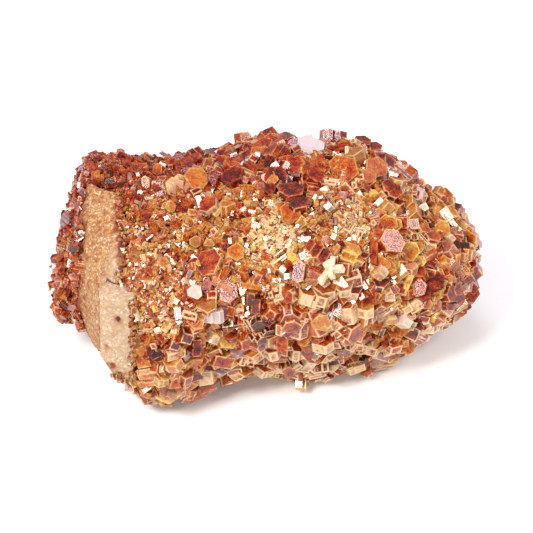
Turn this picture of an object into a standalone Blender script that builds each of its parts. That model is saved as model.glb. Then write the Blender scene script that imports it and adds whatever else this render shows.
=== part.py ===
"""Vanadinite crystals grown over a loose lump of matrix rock, about 110 mm long.

The lump lies on its broken underside with its length along X. The rock is bare underneath and along a
band near its left end, where a paler ledge stands proud. Everywhere else a crust of six-sided crystals
covers it. The crust, with its crystals, is one solid that grew together, and fits over the rock.
"""

import math

import bmesh
import bpy
import numpy as np
from mathutils import Matrix, Vector

MM = 0.001

# The lump's sections along its length, in millimetres before it is centred:
# place along X, nearest Y, furthest Y, lowest Z, highest Z. The ends close to a point.
SECTIONS = (
    (-54.3, 2.0, 2.0, 16.5, 16.5),
    (-51.6, -5.0, 20.5, 10.5, 28.5),
    (-46.5, -6.5, 33.5, 8.0, 39.5),
    (-40.0, -16.5, 35.5, 0.0, 43.0),
    (-34.0, -23.5, 36.5, -2.0, 44.5),
    (-25.0, -28.0, 34.5, -2.5, 44.0),
    (-12.0, -21.5, 37.0, -3.0, 45.5),
    (5.0, -20.5, 39.0, -3.5, 48.5),
    (15.0, -20.0, 38.0, -3.0, 48.0),
    (26.0, -15.5, 35.5, -1.0, 45.0),
    (38.0, -9.5, 28.0, 4.0, 37.0),
    (47.0, -4.0, 25.0, 6.5, 31.5),
    (53.2, 9.0, 9.0, 19.5, 19.5),
)
SQUARENESS = 2.5  # exponent of the rounded-square section, where 2 is an ellipse
CENTRE = (-0.45, 5.95)  # X and Y of the finished lump's middle, in millimetres

# Broad swells of the surface: wavelengths and height in millimetres
SWELL_WAVES = (34.0, 27.0, 21.0, 17.0)
SWELL_HEIGHT = 0.7
SWELL_SEED = 11

# How far the rock lies under the crust's surface, or stands over it where it is bare
CRUST_DEPTH = 3.6
BARE_RISE = 0.6
GAP = 0.3
FOOT_CLEARANCE = 1.2  # the crust's lowest point over the surface that the lump lies on

# The bare band: X of its left and right edges over the top and at the foot, and the angles it spans
BAND_LEFT = (-44.6, -46.6)
BAND_RIGHT = (-37.6, -33.6)
BAND_ANGLES = (86.0, 232.0)
BAND_SOFTNESS = 0.6
UNDERSIDE_HEIGHT = 5.0
EDGE_WOBBLE = 0.9

# The pale ledge: centre, full size and turns in degrees about X, Y and Z
LEDGE_CENTRE = (-34.1, -22.3, 25.0)
LEDGE_SIZE = (9.0, 14.0, 24.0)
LEDGE_TURN = (-14.0, -3.0, -18.0)
LEDGE_BEVEL = 0.9

# Grids for the three lofted surfaces
RINGS_APART = 4.8
BAND_RINGS_APART = 1.5
AROUND = 18

# How a crystal sits: the share of its reach that is under the surface, and the most it stands proud
SUNK_SHARE = 0.44
MOST_PROUD = 2.4

# Where the largest crystals are seen from: 45 degrees above the front, at this distance
SEEN_FROM = 560.0
SEEN_RISE = 45.0
SEEN_SHIFT = 2.0
SEEN_MIDDLE_HEIGHT = 25.0

# The largest crystals, each with its place and pose as seen from there: millimetres right of the
# middle and above it, width across corners, thickness, how far its flat end leans right and up
# from facing the viewer, and its turn about its own axis, in degrees
LARGE_CRYSTALS = (
    (49.7, 9.6, 7.4, 2.6, -24, -12, 12),
    (46.0, 4.2, 4.8, 3.0, -48, 42, 5),
    (40.4, 2.4, 6.4, 2.6, -22, 58, 30),
    (43.6, 9.2, 5.0, 2.2, 6, 8, 0),
    (41.2, 6.6, 4.4, 3.0, 28, 36, 15),
    (52.0, 5.8, 4.2, 3.4, 46, 10, 0),
    (31.6, 18.2, 5.0, 3.8, 22, 30, 20),
    (37.6, 17.4, 4.6, 2.2, -20, 38, 0),
    (41.8, 17.0, 5.2, 3.0, -30, 14, 25),
    (30.6, 10.8, 5.2, 2.4, 0, 6, 10),
    (35.6, 3.4, 5.6, 2.4, 3, 4, 20),
    (35.3, -0.6, 5.4, 3.2, 10, 52, 0),
    (42.8, -4.0, 6.0, 3.6, -8, 22, 12),
    (38.6, -1.8, 4.2, 3.0, -16, 30, 5),
    (47.6, 2.0, 4.6, 4.6, 12, 64, 10),
    (51.0, -7.0, 4.6, 3.4, 20, 5, 0),
    (-8.0, 21.8, 6.0, 4.6, -26, 38, 8),
    (1.9, 22.4, 8.4, 3.6, 12, 12, 18),
    (7.0, 24.3, 5.4, 2.8, -12, 20, 0),
    (11.4, 29.6, 6.6, 2.6, 2, 42, 30),
    (5.0, 33.2, 3.8, 3.2, -12, 48, 0),
    (19.6, 24.4, 8.0, 3.2, 0, 26, 15),
    (27.2, 24.0, 6.2, 3.0, 22, 30, 0),
    (5.8, 13.6, 5.8, 2.8, 4, 6, 5),
    (5.9, 17.6, 6.2, 3.4, 4, 48, 30),
    (14.2, -5.8, 7.4, 3.2, 2, 40, 28),
    (21.2, -6.8, 6.6, 3.2, 16, 44, 5),
    (9.6, -7.8, 6.2, 3.2, 26, 54, 15),
    (8.2, -1.6, 5.0, 3.2, -12, 14, 10),
    (20.4, 3.6, 5.4, 2.6, 20, 40, 0),
    (24.4, 0.2, 6.4, 3.0, 62, -8, 25),
    (18.2, -10.4, 6.0, 3.2, -20, 12, 20),
    (13.0, 3.6, 4.6, 3.2, -20, 20, 0),
    (34.0, -13.0, 4.6, 3.4, -34, 20, 12),
    (40.0, -16.0, 7.6, 2.2, 4, 74, 30),
    (42.6, -12.8, 5.4, 3.4, 58, 30, 0),
    (31.8, -19.2, 5.8, 3.0, 10, 36, 8),
    (24.8, -11.0, 4.6, 2.6, 0, 56, 0),
    (23.2, -24.6, 5.0, 3.4, -10, 30, 20),
    (37.8, -5.2, 4.6, 2.4, -12, 6, 0),
    (-12.4, -12.2, 5.4, 3.4, -8, 60, 0),
    (-17.6, -14.6, 4.8, 3.4, 20, 22, 10),
    (-20.9, -17.8, 6.2, 3.2, -52, 12, 22),
    (-17.9, -20.0, 4.4, 4.4, 12, 72, 0),
    (-11.0, -23.6, 8.0, 3.4, 34, 58, 28),
    (-23.4, -23.6, 4.8, 3.4, -16, 32, 12),
    (-20.4, -27.0, 5.2, 3.2, 12, 38, 5),
    (-18.8, -31.0, 5.0, 3.8, 22, 40, 18),
    (-14.8, -27.8, 5.8, 3.8, -12, 66, 30),
    (-24.2, -32.4, 6.6, 3.2, -4, 4, 10),
    (-9.6, -19.2, 6.2, 2.8, 26, 4, 0),
    (-6.4, -26.4, 5.6, 4.2, 38, 18, 14),
    (-27.2, -22.0, 5.4, 3.6, -22, 16, 25),
    (-22.8, 20.4, 5.8, 2.6, -6, 8, 6),
    (-17.8, 21.6, 6.4, 4.2, 8, 34, 0),
    (-13.8, 21.8, 4.8, 4.4, 24, 20, 12),
    (-14.2, 14.6, 5.0, 3.0, -24, 34, 5),
    (-9.8, 14.0, 4.2, 4.0, -4, 58, 0),
    (-14.0, 0.4, 6.8, 3.4, -20, 18, 10),
    (-7.6, 3.4, 4.4, 2.6, 0, 4, 0),
    (-9.4, -7.0, 5.4, 3.0, -8, 12, 20),
    (-14.2, -9.8, 5.6, 3.0, 0, 26, 0),
    (-2.2, -9.6, 4.8, 3.8, 6, 66, 30),
    (-18.2, -6.2, 4.2, 2.6, 10, 0, 0),
    (1.6, -21.0, 5.6, 3.2, -14, 44, 8),
    (7.4, -21.4, 5.4, 3.4, 12, 50, 22),
    (14.0, -19.6, 5.8, 3.2, -6, 42, 5),
    (-0.6, -25.4, 5.2, 3.2, 18, 34, 0),
    (26.4, -20.2, 5.2, 3.0, 14, 40, 12),
    (28.4, -4.2, 5.2, 2.8, 18, 38, 18),
)

# The other crystals: width across corners, thickness as a share of it, and room between their middles
CRYSTAL_SEED = 5
CRYSTAL_COUNT = 115
CRYSTAL_WIDTH = (3.8, 6.4)
CRYSTAL_THICKNESS = (0.45, 0.95)
CRYSTAL_SPACING = 0.82
CRYSTAL_LEAN = 0.5
FINE_END_WIDTH = 0.7  # crystals at the left end are this share as wide
EDGE_MARGIN = 2.0  # no crystal's middle is nearer to bare rock than this
END_MARGIN = 1.8  # nor nearer than this to either end

# A cluster of stubby pale crystals on the front: its place as seen, and each one's lean and turn
SPRIG_PLACE = (15.6, -0.6)
SPRIG_BLADES = ((-42, -28, 0), (36, 8, 20), (-6, 52, 40), (14, -46, 10), (-4, 2, 30))
SPRIG_SIZE = (1.7, 2.1, 4.2)


def smooth_curve(places, knots, values):
    """A cubic through the knots, with each knot's slope taken from its neighbours."""
    slopes = np.gradient(values, knots)
    index = np.clip(np.searchsorted(knots, places) - 1, 0, len(knots) - 2)
    span = knots[index + 1] - knots[index]
    s = np.clip((places - knots[index]) / span, 0.0, 1.0)
    rise = values[index + 1] - values[index]
    cubic = s * s * (3 - 2 * s)
    start = s * (1 - s) ** 2 * slopes[index] * span
    finish = s * s * (s - 1) * slopes[index + 1] * span
    return values[index] + cubic * rise + start + finish


def section_at(x):
    """Middle and half sizes of the section at x: (middle y, middle z, half depth, half height)."""
    table = np.array(SECTIONS)
    knots = table[:, 0]
    middle_y = smooth_curve(x, knots, (table[:, 1] + table[:, 2]) / 2)
    middle_z = smooth_curve(x, knots, (table[:, 3] + table[:, 4]) / 2)
    depth_squared = smooth_curve(x, knots, ((table[:, 2] - table[:, 1]) / 2) ** 2)
    height_squared = smooth_curve(x, knots, ((table[:, 4] - table[:, 3]) / 2) ** 2)
    return middle_y, middle_z, np.sqrt(np.maximum(depth_squared, 0)), np.sqrt(np.maximum(height_squared, 0))


def plain_surface(x, around):
    """Points of the plain lump: at angle 0 the back, 90 the top, 180 the front and 270 the underside."""
    middle_y, middle_z, half_depth, half_height = section_at(x)
    cosine = np.cos(np.radians(around))
    sine = np.sin(np.radians(around))
    power = 2 / SQUARENESS
    y = middle_y + half_depth * np.sign(cosine) * np.abs(cosine) ** power
    z = middle_z + half_height * np.sign(sine) * np.abs(sine) ** power
    return np.stack([x + 0 * y, y, z], axis=-1)


def swells(points):
    """Height of the broad swells at each point: a sum of sine waves in directions drawn once."""
    draw = np.random.default_rng(SWELL_SEED)
    height = np.zeros(points.shape[:-1])
    for wavelength in SWELL_WAVES:
        direction = draw.normal(size=3)
        direction /= np.linalg.norm(direction)
        phase = draw.uniform(0, 2 * math.pi)
        height += np.sin(points @ direction * (2 * math.pi / wavelength) + phase)
    return SWELL_HEIGHT * height


def normals_at(x, around):
    """Outward directions of the plain lump, from the slopes along and around it."""
    step_x = 0.15
    step_around = 0.8
    x = np.clip(x, SECTIONS[0][0] + step_x, SECTIONS[-1][0] - step_x)
    along = plain_surface(x + step_x, around) - plain_surface(x - step_x, around)
    across = plain_surface(x, around + step_around) - plain_surface(x, around - step_around)
    normal = np.cross(across, along)
    length = np.linalg.norm(normal, axis=-1, keepdims=True)
    return normal / np.maximum(length, 1e-9)


def blend_step(value, start, finish):
    """0 before start, 1 past finish, and smooth between them."""
    s = np.clip((value - start) / (finish - start), 0, 1)
    return s * s * (3 - 2 * s)


def bareness(points, around, margin=0.0):
    """1 where the rock is bare, 0 under the crust: the band near the left end, and the underside."""
    wobble = EDGE_WOBBLE * np.sin(points[..., 1] * 0.55 + 1.0) * np.cos(points[..., 2] * 0.41)
    share = np.clip((around - BAND_ANGLES[0]) / (BAND_ANGLES[1] - BAND_ANGLES[0]), 0, 1)
    left = BAND_LEFT[0] + (BAND_LEFT[1] - BAND_LEFT[0]) * share - margin
    right = BAND_RIGHT[0] + (BAND_RIGHT[1] - BAND_RIGHT[0]) * share + margin
    x = points[..., 0] + wobble
    inside = blend_step(x, left - BAND_SOFTNESS, left + BAND_SOFTNESS)
    inside = inside * (1 - blend_step(x, right - BAND_SOFTNESS, right + BAND_SOFTNESS))
    degrees = 3 + 2 * margin
    span = blend_step(around, BAND_ANGLES[0] - degrees, BAND_ANGLES[0] + degrees)
    span = span * (1 - blend_step(around, BAND_ANGLES[1], BAND_ANGLES[1] + 8))
    low = 1 - blend_step(points[..., 2] + wobble - margin, UNDERSIDE_HEIGHT - 1.0, UNDERSIDE_HEIGHT + 1.0)
    return np.maximum(inside * span, low)


def surface(x, around, rock_offset=None):
    """Points of the lump's surface, moved in or out within their section by swells and the crust's depth.

    rock_offset is None for the crust, or extra height for the rock.
    """
    plain = plain_surface(x, around)
    outward = normals_at(x, around) * (0.0, 1.0, 1.0)
    outward = outward / np.linalg.norm(outward, axis=-1, keepdims=True)
    height = swells(plain)
    lowest = FOOT_CLEARANCE
    if rock_offset is not None:
        bare = bareness(plain, around)
        height = height + bare * BARE_RISE - (1 - bare) * CRUST_DEPTH + rock_offset
        lowest = -rock_offset
    points = plain + outward * height[..., None]
    points[..., 0] -= CENTRE[0]
    points[..., 1] -= CENTRE[1]
    points[..., 2] = np.maximum(points[..., 2], lowest)
    return points


def ring_places(for_rock):
    """X of each ring between the two ends: closer together at the ends and where the band's edges run."""
    inset = CRUST_DEPTH if for_rock else 0.0
    start, finish = SECTIONS[0][0] + inset, SECTIONS[-1][0] - inset
    count = round((finish - start) / RINGS_APART)
    turn = np.linspace(0, math.pi, count + 1)[1:-1]
    even = np.linspace(start, finish, count + 1)[1:-1]
    bunched = (start + finish) / 2 - (finish - start) / 2 * np.cos(turn)
    places = 0.45 * even + 0.55 * bunched
    if not for_rock:
        return places
    band = np.arange(BAND_LEFT[1] - BAND_RINGS_APART, BAND_RIGHT[1] + BAND_RINGS_APART, BAND_RINGS_APART)
    clear = (places < band[0] - BAND_RINGS_APART) | (places > band[-1] + BAND_RINGS_APART)
    return np.sort(np.concatenate([places[clear], band]))


def lofted_object(name, collection, rock_offset=None):
    """A closed loft of triangles through the rings, with a point at each end. Its surface is surface()."""
    for_rock = rock_offset is not None
    inset = CRUST_DEPTH - rock_offset if for_rock else 0.0
    places = ring_places(for_rock)
    angles = np.arange(AROUND) * 360 / AROUND
    grid_x, grid_around = np.meshgrid(places, angles, indexing="ij")
    rings = surface(grid_x, grid_around, rock_offset) * MM
    tips = []
    for end, side in ((SECTIONS[0], 1), (SECTIONS[-1], -1)):
        tips.append(((end[0] + side * inset - CENTRE[0]) * MM, (end[1] - CENTRE[1]) * MM, end[3] * MM))
    mesh = bmesh.new()
    rows = [[mesh.verts.new(point) for point in ring] for ring in rings]
    left_tip = mesh.verts.new(tips[0])
    right_tip = mesh.verts.new(tips[1])
    for j in range(AROUND):
        k = (j + 1) % AROUND
        for near, far in zip(rows, rows[1:]):
            mesh.faces.new((near[j], near[k], far[k]))
            mesh.faces.new((near[j], far[k], far[j]))
        mesh.faces.new((left_tip, rows[0][k], rows[0][j]))
        mesh.faces.new((right_tip, rows[-1][j], rows[-1][k]))
    bmesh.ops.recalc_face_normals(mesh, faces=mesh.faces)
    return object_from(name, mesh, collection)


def object_from(name, mesh, collection):
    """A new object that holds the bmesh, in the collection."""
    data = bpy.data.meshes.new(name)
    mesh.to_mesh(data)
    mesh.free()
    made = bpy.data.objects.new(name, data)
    collection.objects.link(made)
    return made


def ledge_object(name, collection, grow):
    """The pale ledge: a block with bevelled edges, larger by grow on every side."""
    mesh = bmesh.new()
    turn = Matrix.Identity(4)
    for degrees, axis in zip(LEDGE_TURN, "XYZ"):
        turn = Matrix.Rotation(math.radians(degrees), 4, axis) @ turn
    size = [(side + 2 * grow) * MM for side in LEDGE_SIZE]
    place = Matrix.Translation(Vector(LEDGE_CENTRE) * MM)
    bmesh.ops.create_cube(mesh, size=1.0, matrix=place @ turn @ Matrix.Diagonal((*size, 1.0)))
    bmesh.ops.bevel(mesh, geom=mesh.edges[:], offset=LEDGE_BEVEL * MM, segments=1, affect="EDGES")
    return object_from(name, mesh, collection)


def view_directions():
    """The directions to the right, up and towards the viewer, from where the large crystals are seen."""
    rise = math.radians(SEEN_RISE)
    right = np.array([1.0, 0.0, 0.0])
    up = np.array([0.0, math.sin(rise), math.cos(rise)])
    towards = np.array([0.0, -math.cos(rise), math.sin(rise)])
    return right, up, towards


def surface_grid():
    """A fine grid over the surface: places along X, angles, points and outward directions."""
    fine_x = np.linspace(SECTIONS[0][0] + END_MARGIN, SECTIONS[-1][0] - END_MARGIN, 240)
    grid_x, grid_around = np.meshgrid(fine_x, np.arange(0, 360, 2.0), indexing="ij")
    return grid_x, grid_around, surface(grid_x, grid_around), normals_at(grid_x, grid_around)


def seen_at(right_mm, up_mm, grid):
    """The surface point seen at a place in the view, and its outward direction."""
    points, outward = grid[2].reshape(-1, 3), grid[3].reshape(-1, 3)
    right, up, towards = view_directions()
    offset = points - (0.0, 0.0, SEEN_MIDDLE_HEIGHT)
    scale = SEEN_FROM / (SEEN_FROM - offset @ towards)
    away = np.hypot(offset @ right * scale - right_mm, offset @ up * scale + SEEN_SHIFT - up_mm)
    away = np.where(outward @ towards > 0.05, away, np.inf)
    index = np.argmin(away)
    return points[index], outward[index]


def leaning_axis(lean_right, lean_up):
    """The direction that leans this many degrees right and up from facing the viewer."""
    right, up, towards = view_directions()
    a, b = math.radians(lean_right), math.radians(lean_up)
    return towards * math.cos(a) * math.cos(b) + right * math.sin(a) * math.cos(b) + up * math.sin(b)


def seated(point, outward, axis, width, thickness):
    """The middle of a crystal that is sunk into the surface by its share, and not too proud of it."""
    along = abs(float(outward @ axis))
    reach = thickness / 2 * along + width / 2 * math.sqrt(max(0.0, 1 - along * along))
    rise = min(reach * (1 - 2 * SUNK_SHARE), MOST_PROUD - reach)
    return point + outward * rise


def large_crystals(grid):
    """The large crystals: (middle, axis, width, thickness, turn) for each row of the table."""
    made = []
    for right_mm, up_mm, width, thickness, lean_right, lean_up, turn in LARGE_CRYSTALS:
        point, outward = seen_at(right_mm, up_mm, grid)
        axis = leaning_axis(lean_right, lean_up)
        made.append((seated(point, outward, axis, width, thickness), axis, width, thickness, turn))
    return made


def other_crystals(grid, large, draw):
    """Crystals at random places, thinned so that they stand clear of each other and of the large ones."""
    grid_x, grid_around, points, outward = grid
    along = np.linalg.norm(np.gradient(points, axis=0), axis=-1)
    across = np.linalg.norm(np.roll(points, -1, axis=1) - points, axis=-1)
    bare = bareness(plain_surface(grid_x, grid_around), grid_around, EDGE_MARGIN)
    weight = (along * across * (bare < 0.01)).ravel()
    tries = draw.choice(weight.size, size=CRYSTAL_COUNT * 25, p=weight / weight.sum())
    widths = draw.uniform(*CRYSTAL_WIDTH, size=tries.size)
    widths *= np.where(grid_x.ravel()[tries] < BAND_LEFT[0], FINE_END_WIDTH, 1.0)
    kept_points = np.array([crystal[0] for crystal in large])
    kept_widths = np.array([crystal[2] for crystal in large])
    made = []
    for index, width in zip(tries, widths):
        point = points.reshape(-1, 3)[index]
        room = CRYSTAL_SPACING * (kept_widths + width) / 2
        if (np.linalg.norm(kept_points - point, axis=1) < room).any():
            continue
        facing = outward.reshape(-1, 3)[index]
        axis = facing + draw.normal(size=3) * CRYSTAL_LEAN
        axis /= np.linalg.norm(axis)
        thickness = width * draw.uniform(*CRYSTAL_THICKNESS)
        made.append((seated(point, facing, axis, width, thickness), axis, width, thickness, draw.uniform(0, 60)))
        kept_points = np.vstack([kept_points, point])
        kept_widths = np.append(kept_widths, width)
        if len(made) == CRYSTAL_COUNT:
            break
    return made


def crystals_object(name, collection, crystals):
    """The crystals as one mesh of six-sided prisms, before they are joined to the crust."""
    mesh = bmesh.new()
    for middle, axis, width, thickness, turn in crystals:
        pose = Vector(axis).to_track_quat("Z", "Y").to_matrix().to_4x4()
        bmesh.ops.create_cone(
            mesh,
            cap_ends=True,
            segments=6,
            radius1=width / 2 * MM,
            radius2=width / 2 * MM,
            depth=thickness * MM,
            matrix=Matrix.Translation(Vector(middle) * MM) @ pose @ Matrix.Rotation(math.radians(turn), 4, "Z"),
        )
    return object_from(name, mesh, collection)


def sprig_object(name, collection, grid):
    """The cluster of pale crystals: square-ended blocks that lean out from one place on the crust."""
    point, outward = seen_at(*SPRIG_PLACE, grid)
    mesh = bmesh.new()
    for lean_right, lean_up, turn in SPRIG_BLADES:
        axis = Vector(leaning_axis(lean_right, lean_up))
        pose = axis.to_track_quat("Z", "Y").to_matrix().to_4x4()
        middle = Vector(point + outward * 0.9) + axis * (SPRIG_SIZE[2] * 0.28)
        size = [side * MM for side in SPRIG_SIZE]
        spin = Matrix.Rotation(math.radians(turn), 4, "Z")
        place = Matrix.Translation(middle * MM)
        bmesh.ops.create_cube(mesh, size=1.0, matrix=place @ pose @ spin @ Matrix.Diagonal((*size, 1.0)))
    return object_from(name, mesh, collection)


def boolean(target, other, operation, overlapping=False):
    """Joins other to target, or cuts it from target, with the exact solver."""
    modifier = target.modifiers.new(operation.title(), "BOOLEAN")
    modifier.operation = operation
    modifier.solver = "EXACT"
    modifier.use_self = overlapping
    modifier.object = other


def finish(made, colour, roughness):
    """Gives the piece its own material."""
    material = bpy.data.materials.new(made.name)
    material.use_nodes = True
    shader = material.node_tree.nodes["Principled BSDF"]
    shader.inputs["Base Color"].default_value = (*colour, 1.0)
    shader.inputs["Roughness"].default_value = roughness
    shader.inputs["Metallic"].default_value = 0.0
    made.data.materials.append(material)


def as_cutter(helper):
    """Leaves a helper out of the model and its renders."""
    helper.hide_render = True
    helper.display_type = "WIRE"


def clear_scene():
    for old in list(bpy.data.objects):
        bpy.data.objects.remove(old)


def new_collection(name):
    collection = bpy.data.collections.new(name)
    bpy.context.scene.collection.children.link(collection)
    return collection


def main():
    clear_scene()
    specimen = new_collection("vanadinite on matrix")
    cutters = new_collection("cutters")

    rock = lofted_object("matrix_rock", specimen, rock_offset=0.0)
    ledge = ledge_object("ledge_block", cutters, 0.0)
    boolean(rock, ledge, "UNION")

    grid = surface_grid()
    large = large_crystals(grid)
    others = other_crystals(grid, large, np.random.default_rng(CRYSTAL_SEED))
    crust = lofted_object("vanadinite_crust", specimen)
    crystals = crystals_object("crystal_prisms", cutters, large + others)
    sprig = sprig_object("sprig_blocks", cutters, grid)
    room_for_rock = lofted_object("room_for_rock", cutters, rock_offset=GAP)
    room_for_ledge = ledge_object("room_for_ledge", cutters, GAP)
    boolean(crust, crystals, "UNION", overlapping=True)
    boolean(crust, sprig, "UNION", overlapping=True)
    boolean(crust, room_for_rock, "DIFFERENCE")
    boolean(crust, room_for_ledge, "DIFFERENCE")

    for helper in (ledge, crystals, sprig, room_for_rock, room_for_ledge):
        as_cutter(helper)
    finish(rock, (0.62, 0.40, 0.24), 0.85)
    finish(crust, (0.42, 0.12, 0.05), 0.25)


main()
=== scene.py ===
"""Vanadinite on matrix: a hand specimen about 110 mm long, lying on a pale sheet.

The rock, its ledge, the crust and its crystals are surfaces worked out from the lump's own sections.
The crystals are six-sided prisms, from plates 8 mm wide down to grains of half a millimetre.
"""

import math

import bpy
import numpy as np
from mathutils import Matrix, Vector


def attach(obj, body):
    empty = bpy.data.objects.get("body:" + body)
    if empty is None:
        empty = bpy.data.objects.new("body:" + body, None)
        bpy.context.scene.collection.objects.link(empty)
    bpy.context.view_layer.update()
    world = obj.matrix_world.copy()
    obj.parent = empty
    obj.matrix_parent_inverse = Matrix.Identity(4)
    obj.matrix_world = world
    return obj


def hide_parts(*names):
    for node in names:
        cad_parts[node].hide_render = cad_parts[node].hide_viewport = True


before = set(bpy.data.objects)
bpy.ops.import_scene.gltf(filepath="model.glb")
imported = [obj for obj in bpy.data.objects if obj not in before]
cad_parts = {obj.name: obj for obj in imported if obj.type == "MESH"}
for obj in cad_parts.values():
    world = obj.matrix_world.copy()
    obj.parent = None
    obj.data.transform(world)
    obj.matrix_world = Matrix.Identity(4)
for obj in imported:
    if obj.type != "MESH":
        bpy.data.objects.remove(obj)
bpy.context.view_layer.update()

bl_info = {
    "name": "Vanadinite on matrix",
    "version": (1, 0, 0),
    "blender": (4, 5, 0),
    "location": "3D View > Sidebar > Vanadinite",
    "description": "Builds a hand specimen of vanadinite crystals on matrix rock",
    "category": "Object",
}

MM = 0.001

# The lump's sections along its length, in millimetres before it is centred:
# place along X, nearest Y, furthest Y, lowest Z, highest Z. The ends close to a point.
SECTIONS = (
    (-54.3, 2.0, 2.0, 16.5, 16.5),
    (-51.6, -5.0, 20.5, 10.5, 28.5),
    (-46.5, -6.5, 33.5, 8.0, 39.5),
    (-40.0, -16.5, 35.5, 0.0, 43.0),
    (-34.0, -23.5, 36.5, -2.0, 44.5),
    (-25.0, -28.0, 34.5, -2.5, 44.0),
    (-12.0, -21.5, 37.0, -3.0, 45.5),
    (5.0, -20.5, 39.0, -3.5, 48.5),
    (15.0, -20.0, 38.0, -3.0, 48.0),
    (26.0, -15.5, 35.5, -1.0, 45.0),
    (38.0, -9.5, 28.0, 4.0, 37.0),
    (47.0, -4.0, 25.0, 6.5, 31.5),
    (53.2, 9.0, 9.0, 19.5, 19.5),
)
SQUARENESS = 2.5  # exponent of the rounded-square section, where 2 is an ellipse
CENTRE = (-0.45, 5.95)

# Broad swells of the surface: wavelengths and height in millimetres
SWELL_WAVES = (34.0, 27.0, 21.0, 17.0)
SWELL_HEIGHT = 0.7
SWELL_SEED = 11

# How far the rock lies under the crust's surface, or stands over it where it is bare
CRUST_DEPTH = 3.6
BARE_RISE = 0.6
FOOT_CLEARANCE = 1.2

# The bare band: X of its left and right edges over the top and at the foot, and the angles it spans
BAND_LEFT = (-45.8, -47.8)
BAND_RIGHT = (-36.2, -32.4)
BAND_ANGLES = (86.0, 232.0)
SOLID_BAND = ((-44.6, -46.6), (-37.6, -33.6))  # the same edges as the solid has them, for its crystals
BAND_SOFTNESS = 0.6
UNDERSIDE_HEIGHT = 5.0
PALE_PATCH = (-35.5, -20.0, 38.0)  # the palest part of the band, and how far it reaches
PALE_REACH = (3.5, 9.0, 7.0)
EDGE_WOBBLE = 0.9
WOBBLE_WAVES = (0.55, 0.41)  # radians per millimetre along Y and Z
TOP_SOFTNESS = 3.0  # degrees over which the band ends at the top, and at its foot
FOOT_SOFTNESS = 8.0

# The pale ledge: centre, full size and turns in degrees about X, Y and Z
LEDGE_CENTRE = (-34.1, -22.3, 25.0)
LEDGE_SIZE = (9.0, 14.0, 24.0)
LEDGE_TURN = (-14.0, -3.0, -18.0)
LEDGE_ROUNDING = 0.45
LEDGE_CUT = (-5.5, 0.7)  # its lower left corner is cut from this height down, by this slope
LEDGE_PITS = (  # place on it, reach and depth
    ((0.6, -6.9, 5.0), 0.9, 0.8),
    ((-2.6, -6.9, -3.5), 0.7, 0.6),
    ((-1.2, -6.9, -8.6), 0.9, 0.8),
)
LEDGE_SPACING = 0.36
LEDGE_SINKING = 0.25
LEDGE_RELIEF = ((9.0, 0.2), (3.5, 0.2), (1.3, 0.16), (0.6, 0.16))  # grain sizes and heights
LEDGE_PALENESS = 0.7
# The dark line on the ledge's left edge is partly red-brown stain and partly painted shade of the crack
CRACK_HEIGHTS = (-8.0, -4.0)  # the dark line on its left edge fades out between these
CRACK_DEPTHS = (0.8, 1.6)

# Small crystals grow on the ledge, most along its right edge and some at its foot. Their places are
# shares of its half sizes.
LEDGE_CRYSTALS = 190
LEDGE_EDGE = 0.94
LEDGE_EDGE_SPAN = ((-1.04, -0.5), (-1.0, 0.95))
LEDGE_FOOT_SHARE = 0.4
LEDGE_FOOT_SPAN = ((0.0, 1.0), (-1.04, -0.3), (-1.05, -0.85))
LEDGE_SCATTER = 0.4
LEDGE_CRYSTAL_WIDTH = (0.6, 1.9)
LEDGE_CRYSTAL_THICKNESS = (0.4, 1.2)  # as a share of the width
LEDGE_CRYSTAL_TONE = (0.3, 0.7)
LEDGE_CRYSTAL_CREAM = 0.3

# The surface of the bare rock: X of the finely meshed part and its spacing, and the relief of its grains
ROCK_FINE = (-49.5, -30.0, 0.36)
ROCK_STEPS = 70
ROCK_RELIEF = ((7.0, 0.4), (2.6, 0.35), (1.1, 0.3), (0.6, 0.18))
ROCK_EDGE = (0.5, 1.6)  # margin and softness of the band as the rock rises into it
STAIN_EDGE = (-1.4, 1.4)  # the same for the rusty stain along its edges
STAIN_MOST = 0.8
PALENESS = 0.85

# How a large crystal sits: the share of its reach under the surface, and the most it stands proud
SUNK_SHARE = 0.44
MOST_PROUD = 2.4

# The specimen is seen from 45 degrees above its front, at this distance in millimetres
SEEN_FROM = 560.0
SEEN_RISE = 45.0
SEEN_SHIFT = 2.0
SEEN_MIDDLE_HEIGHT = 25.0
FRAME_PIXELS = 533
PIXELS_PER_MM = 4.0
SENSOR_WIDTH = 36.0

# Tones of a crystal's body on the colour ramp, from nearly black red to pale tan
TONES = {"dark": 0.06, "wine": 0.16, "red": 0.3, "rust": 0.42, "orange": 0.54, "ochre": 0.68, "tan": 0.82}
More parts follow.
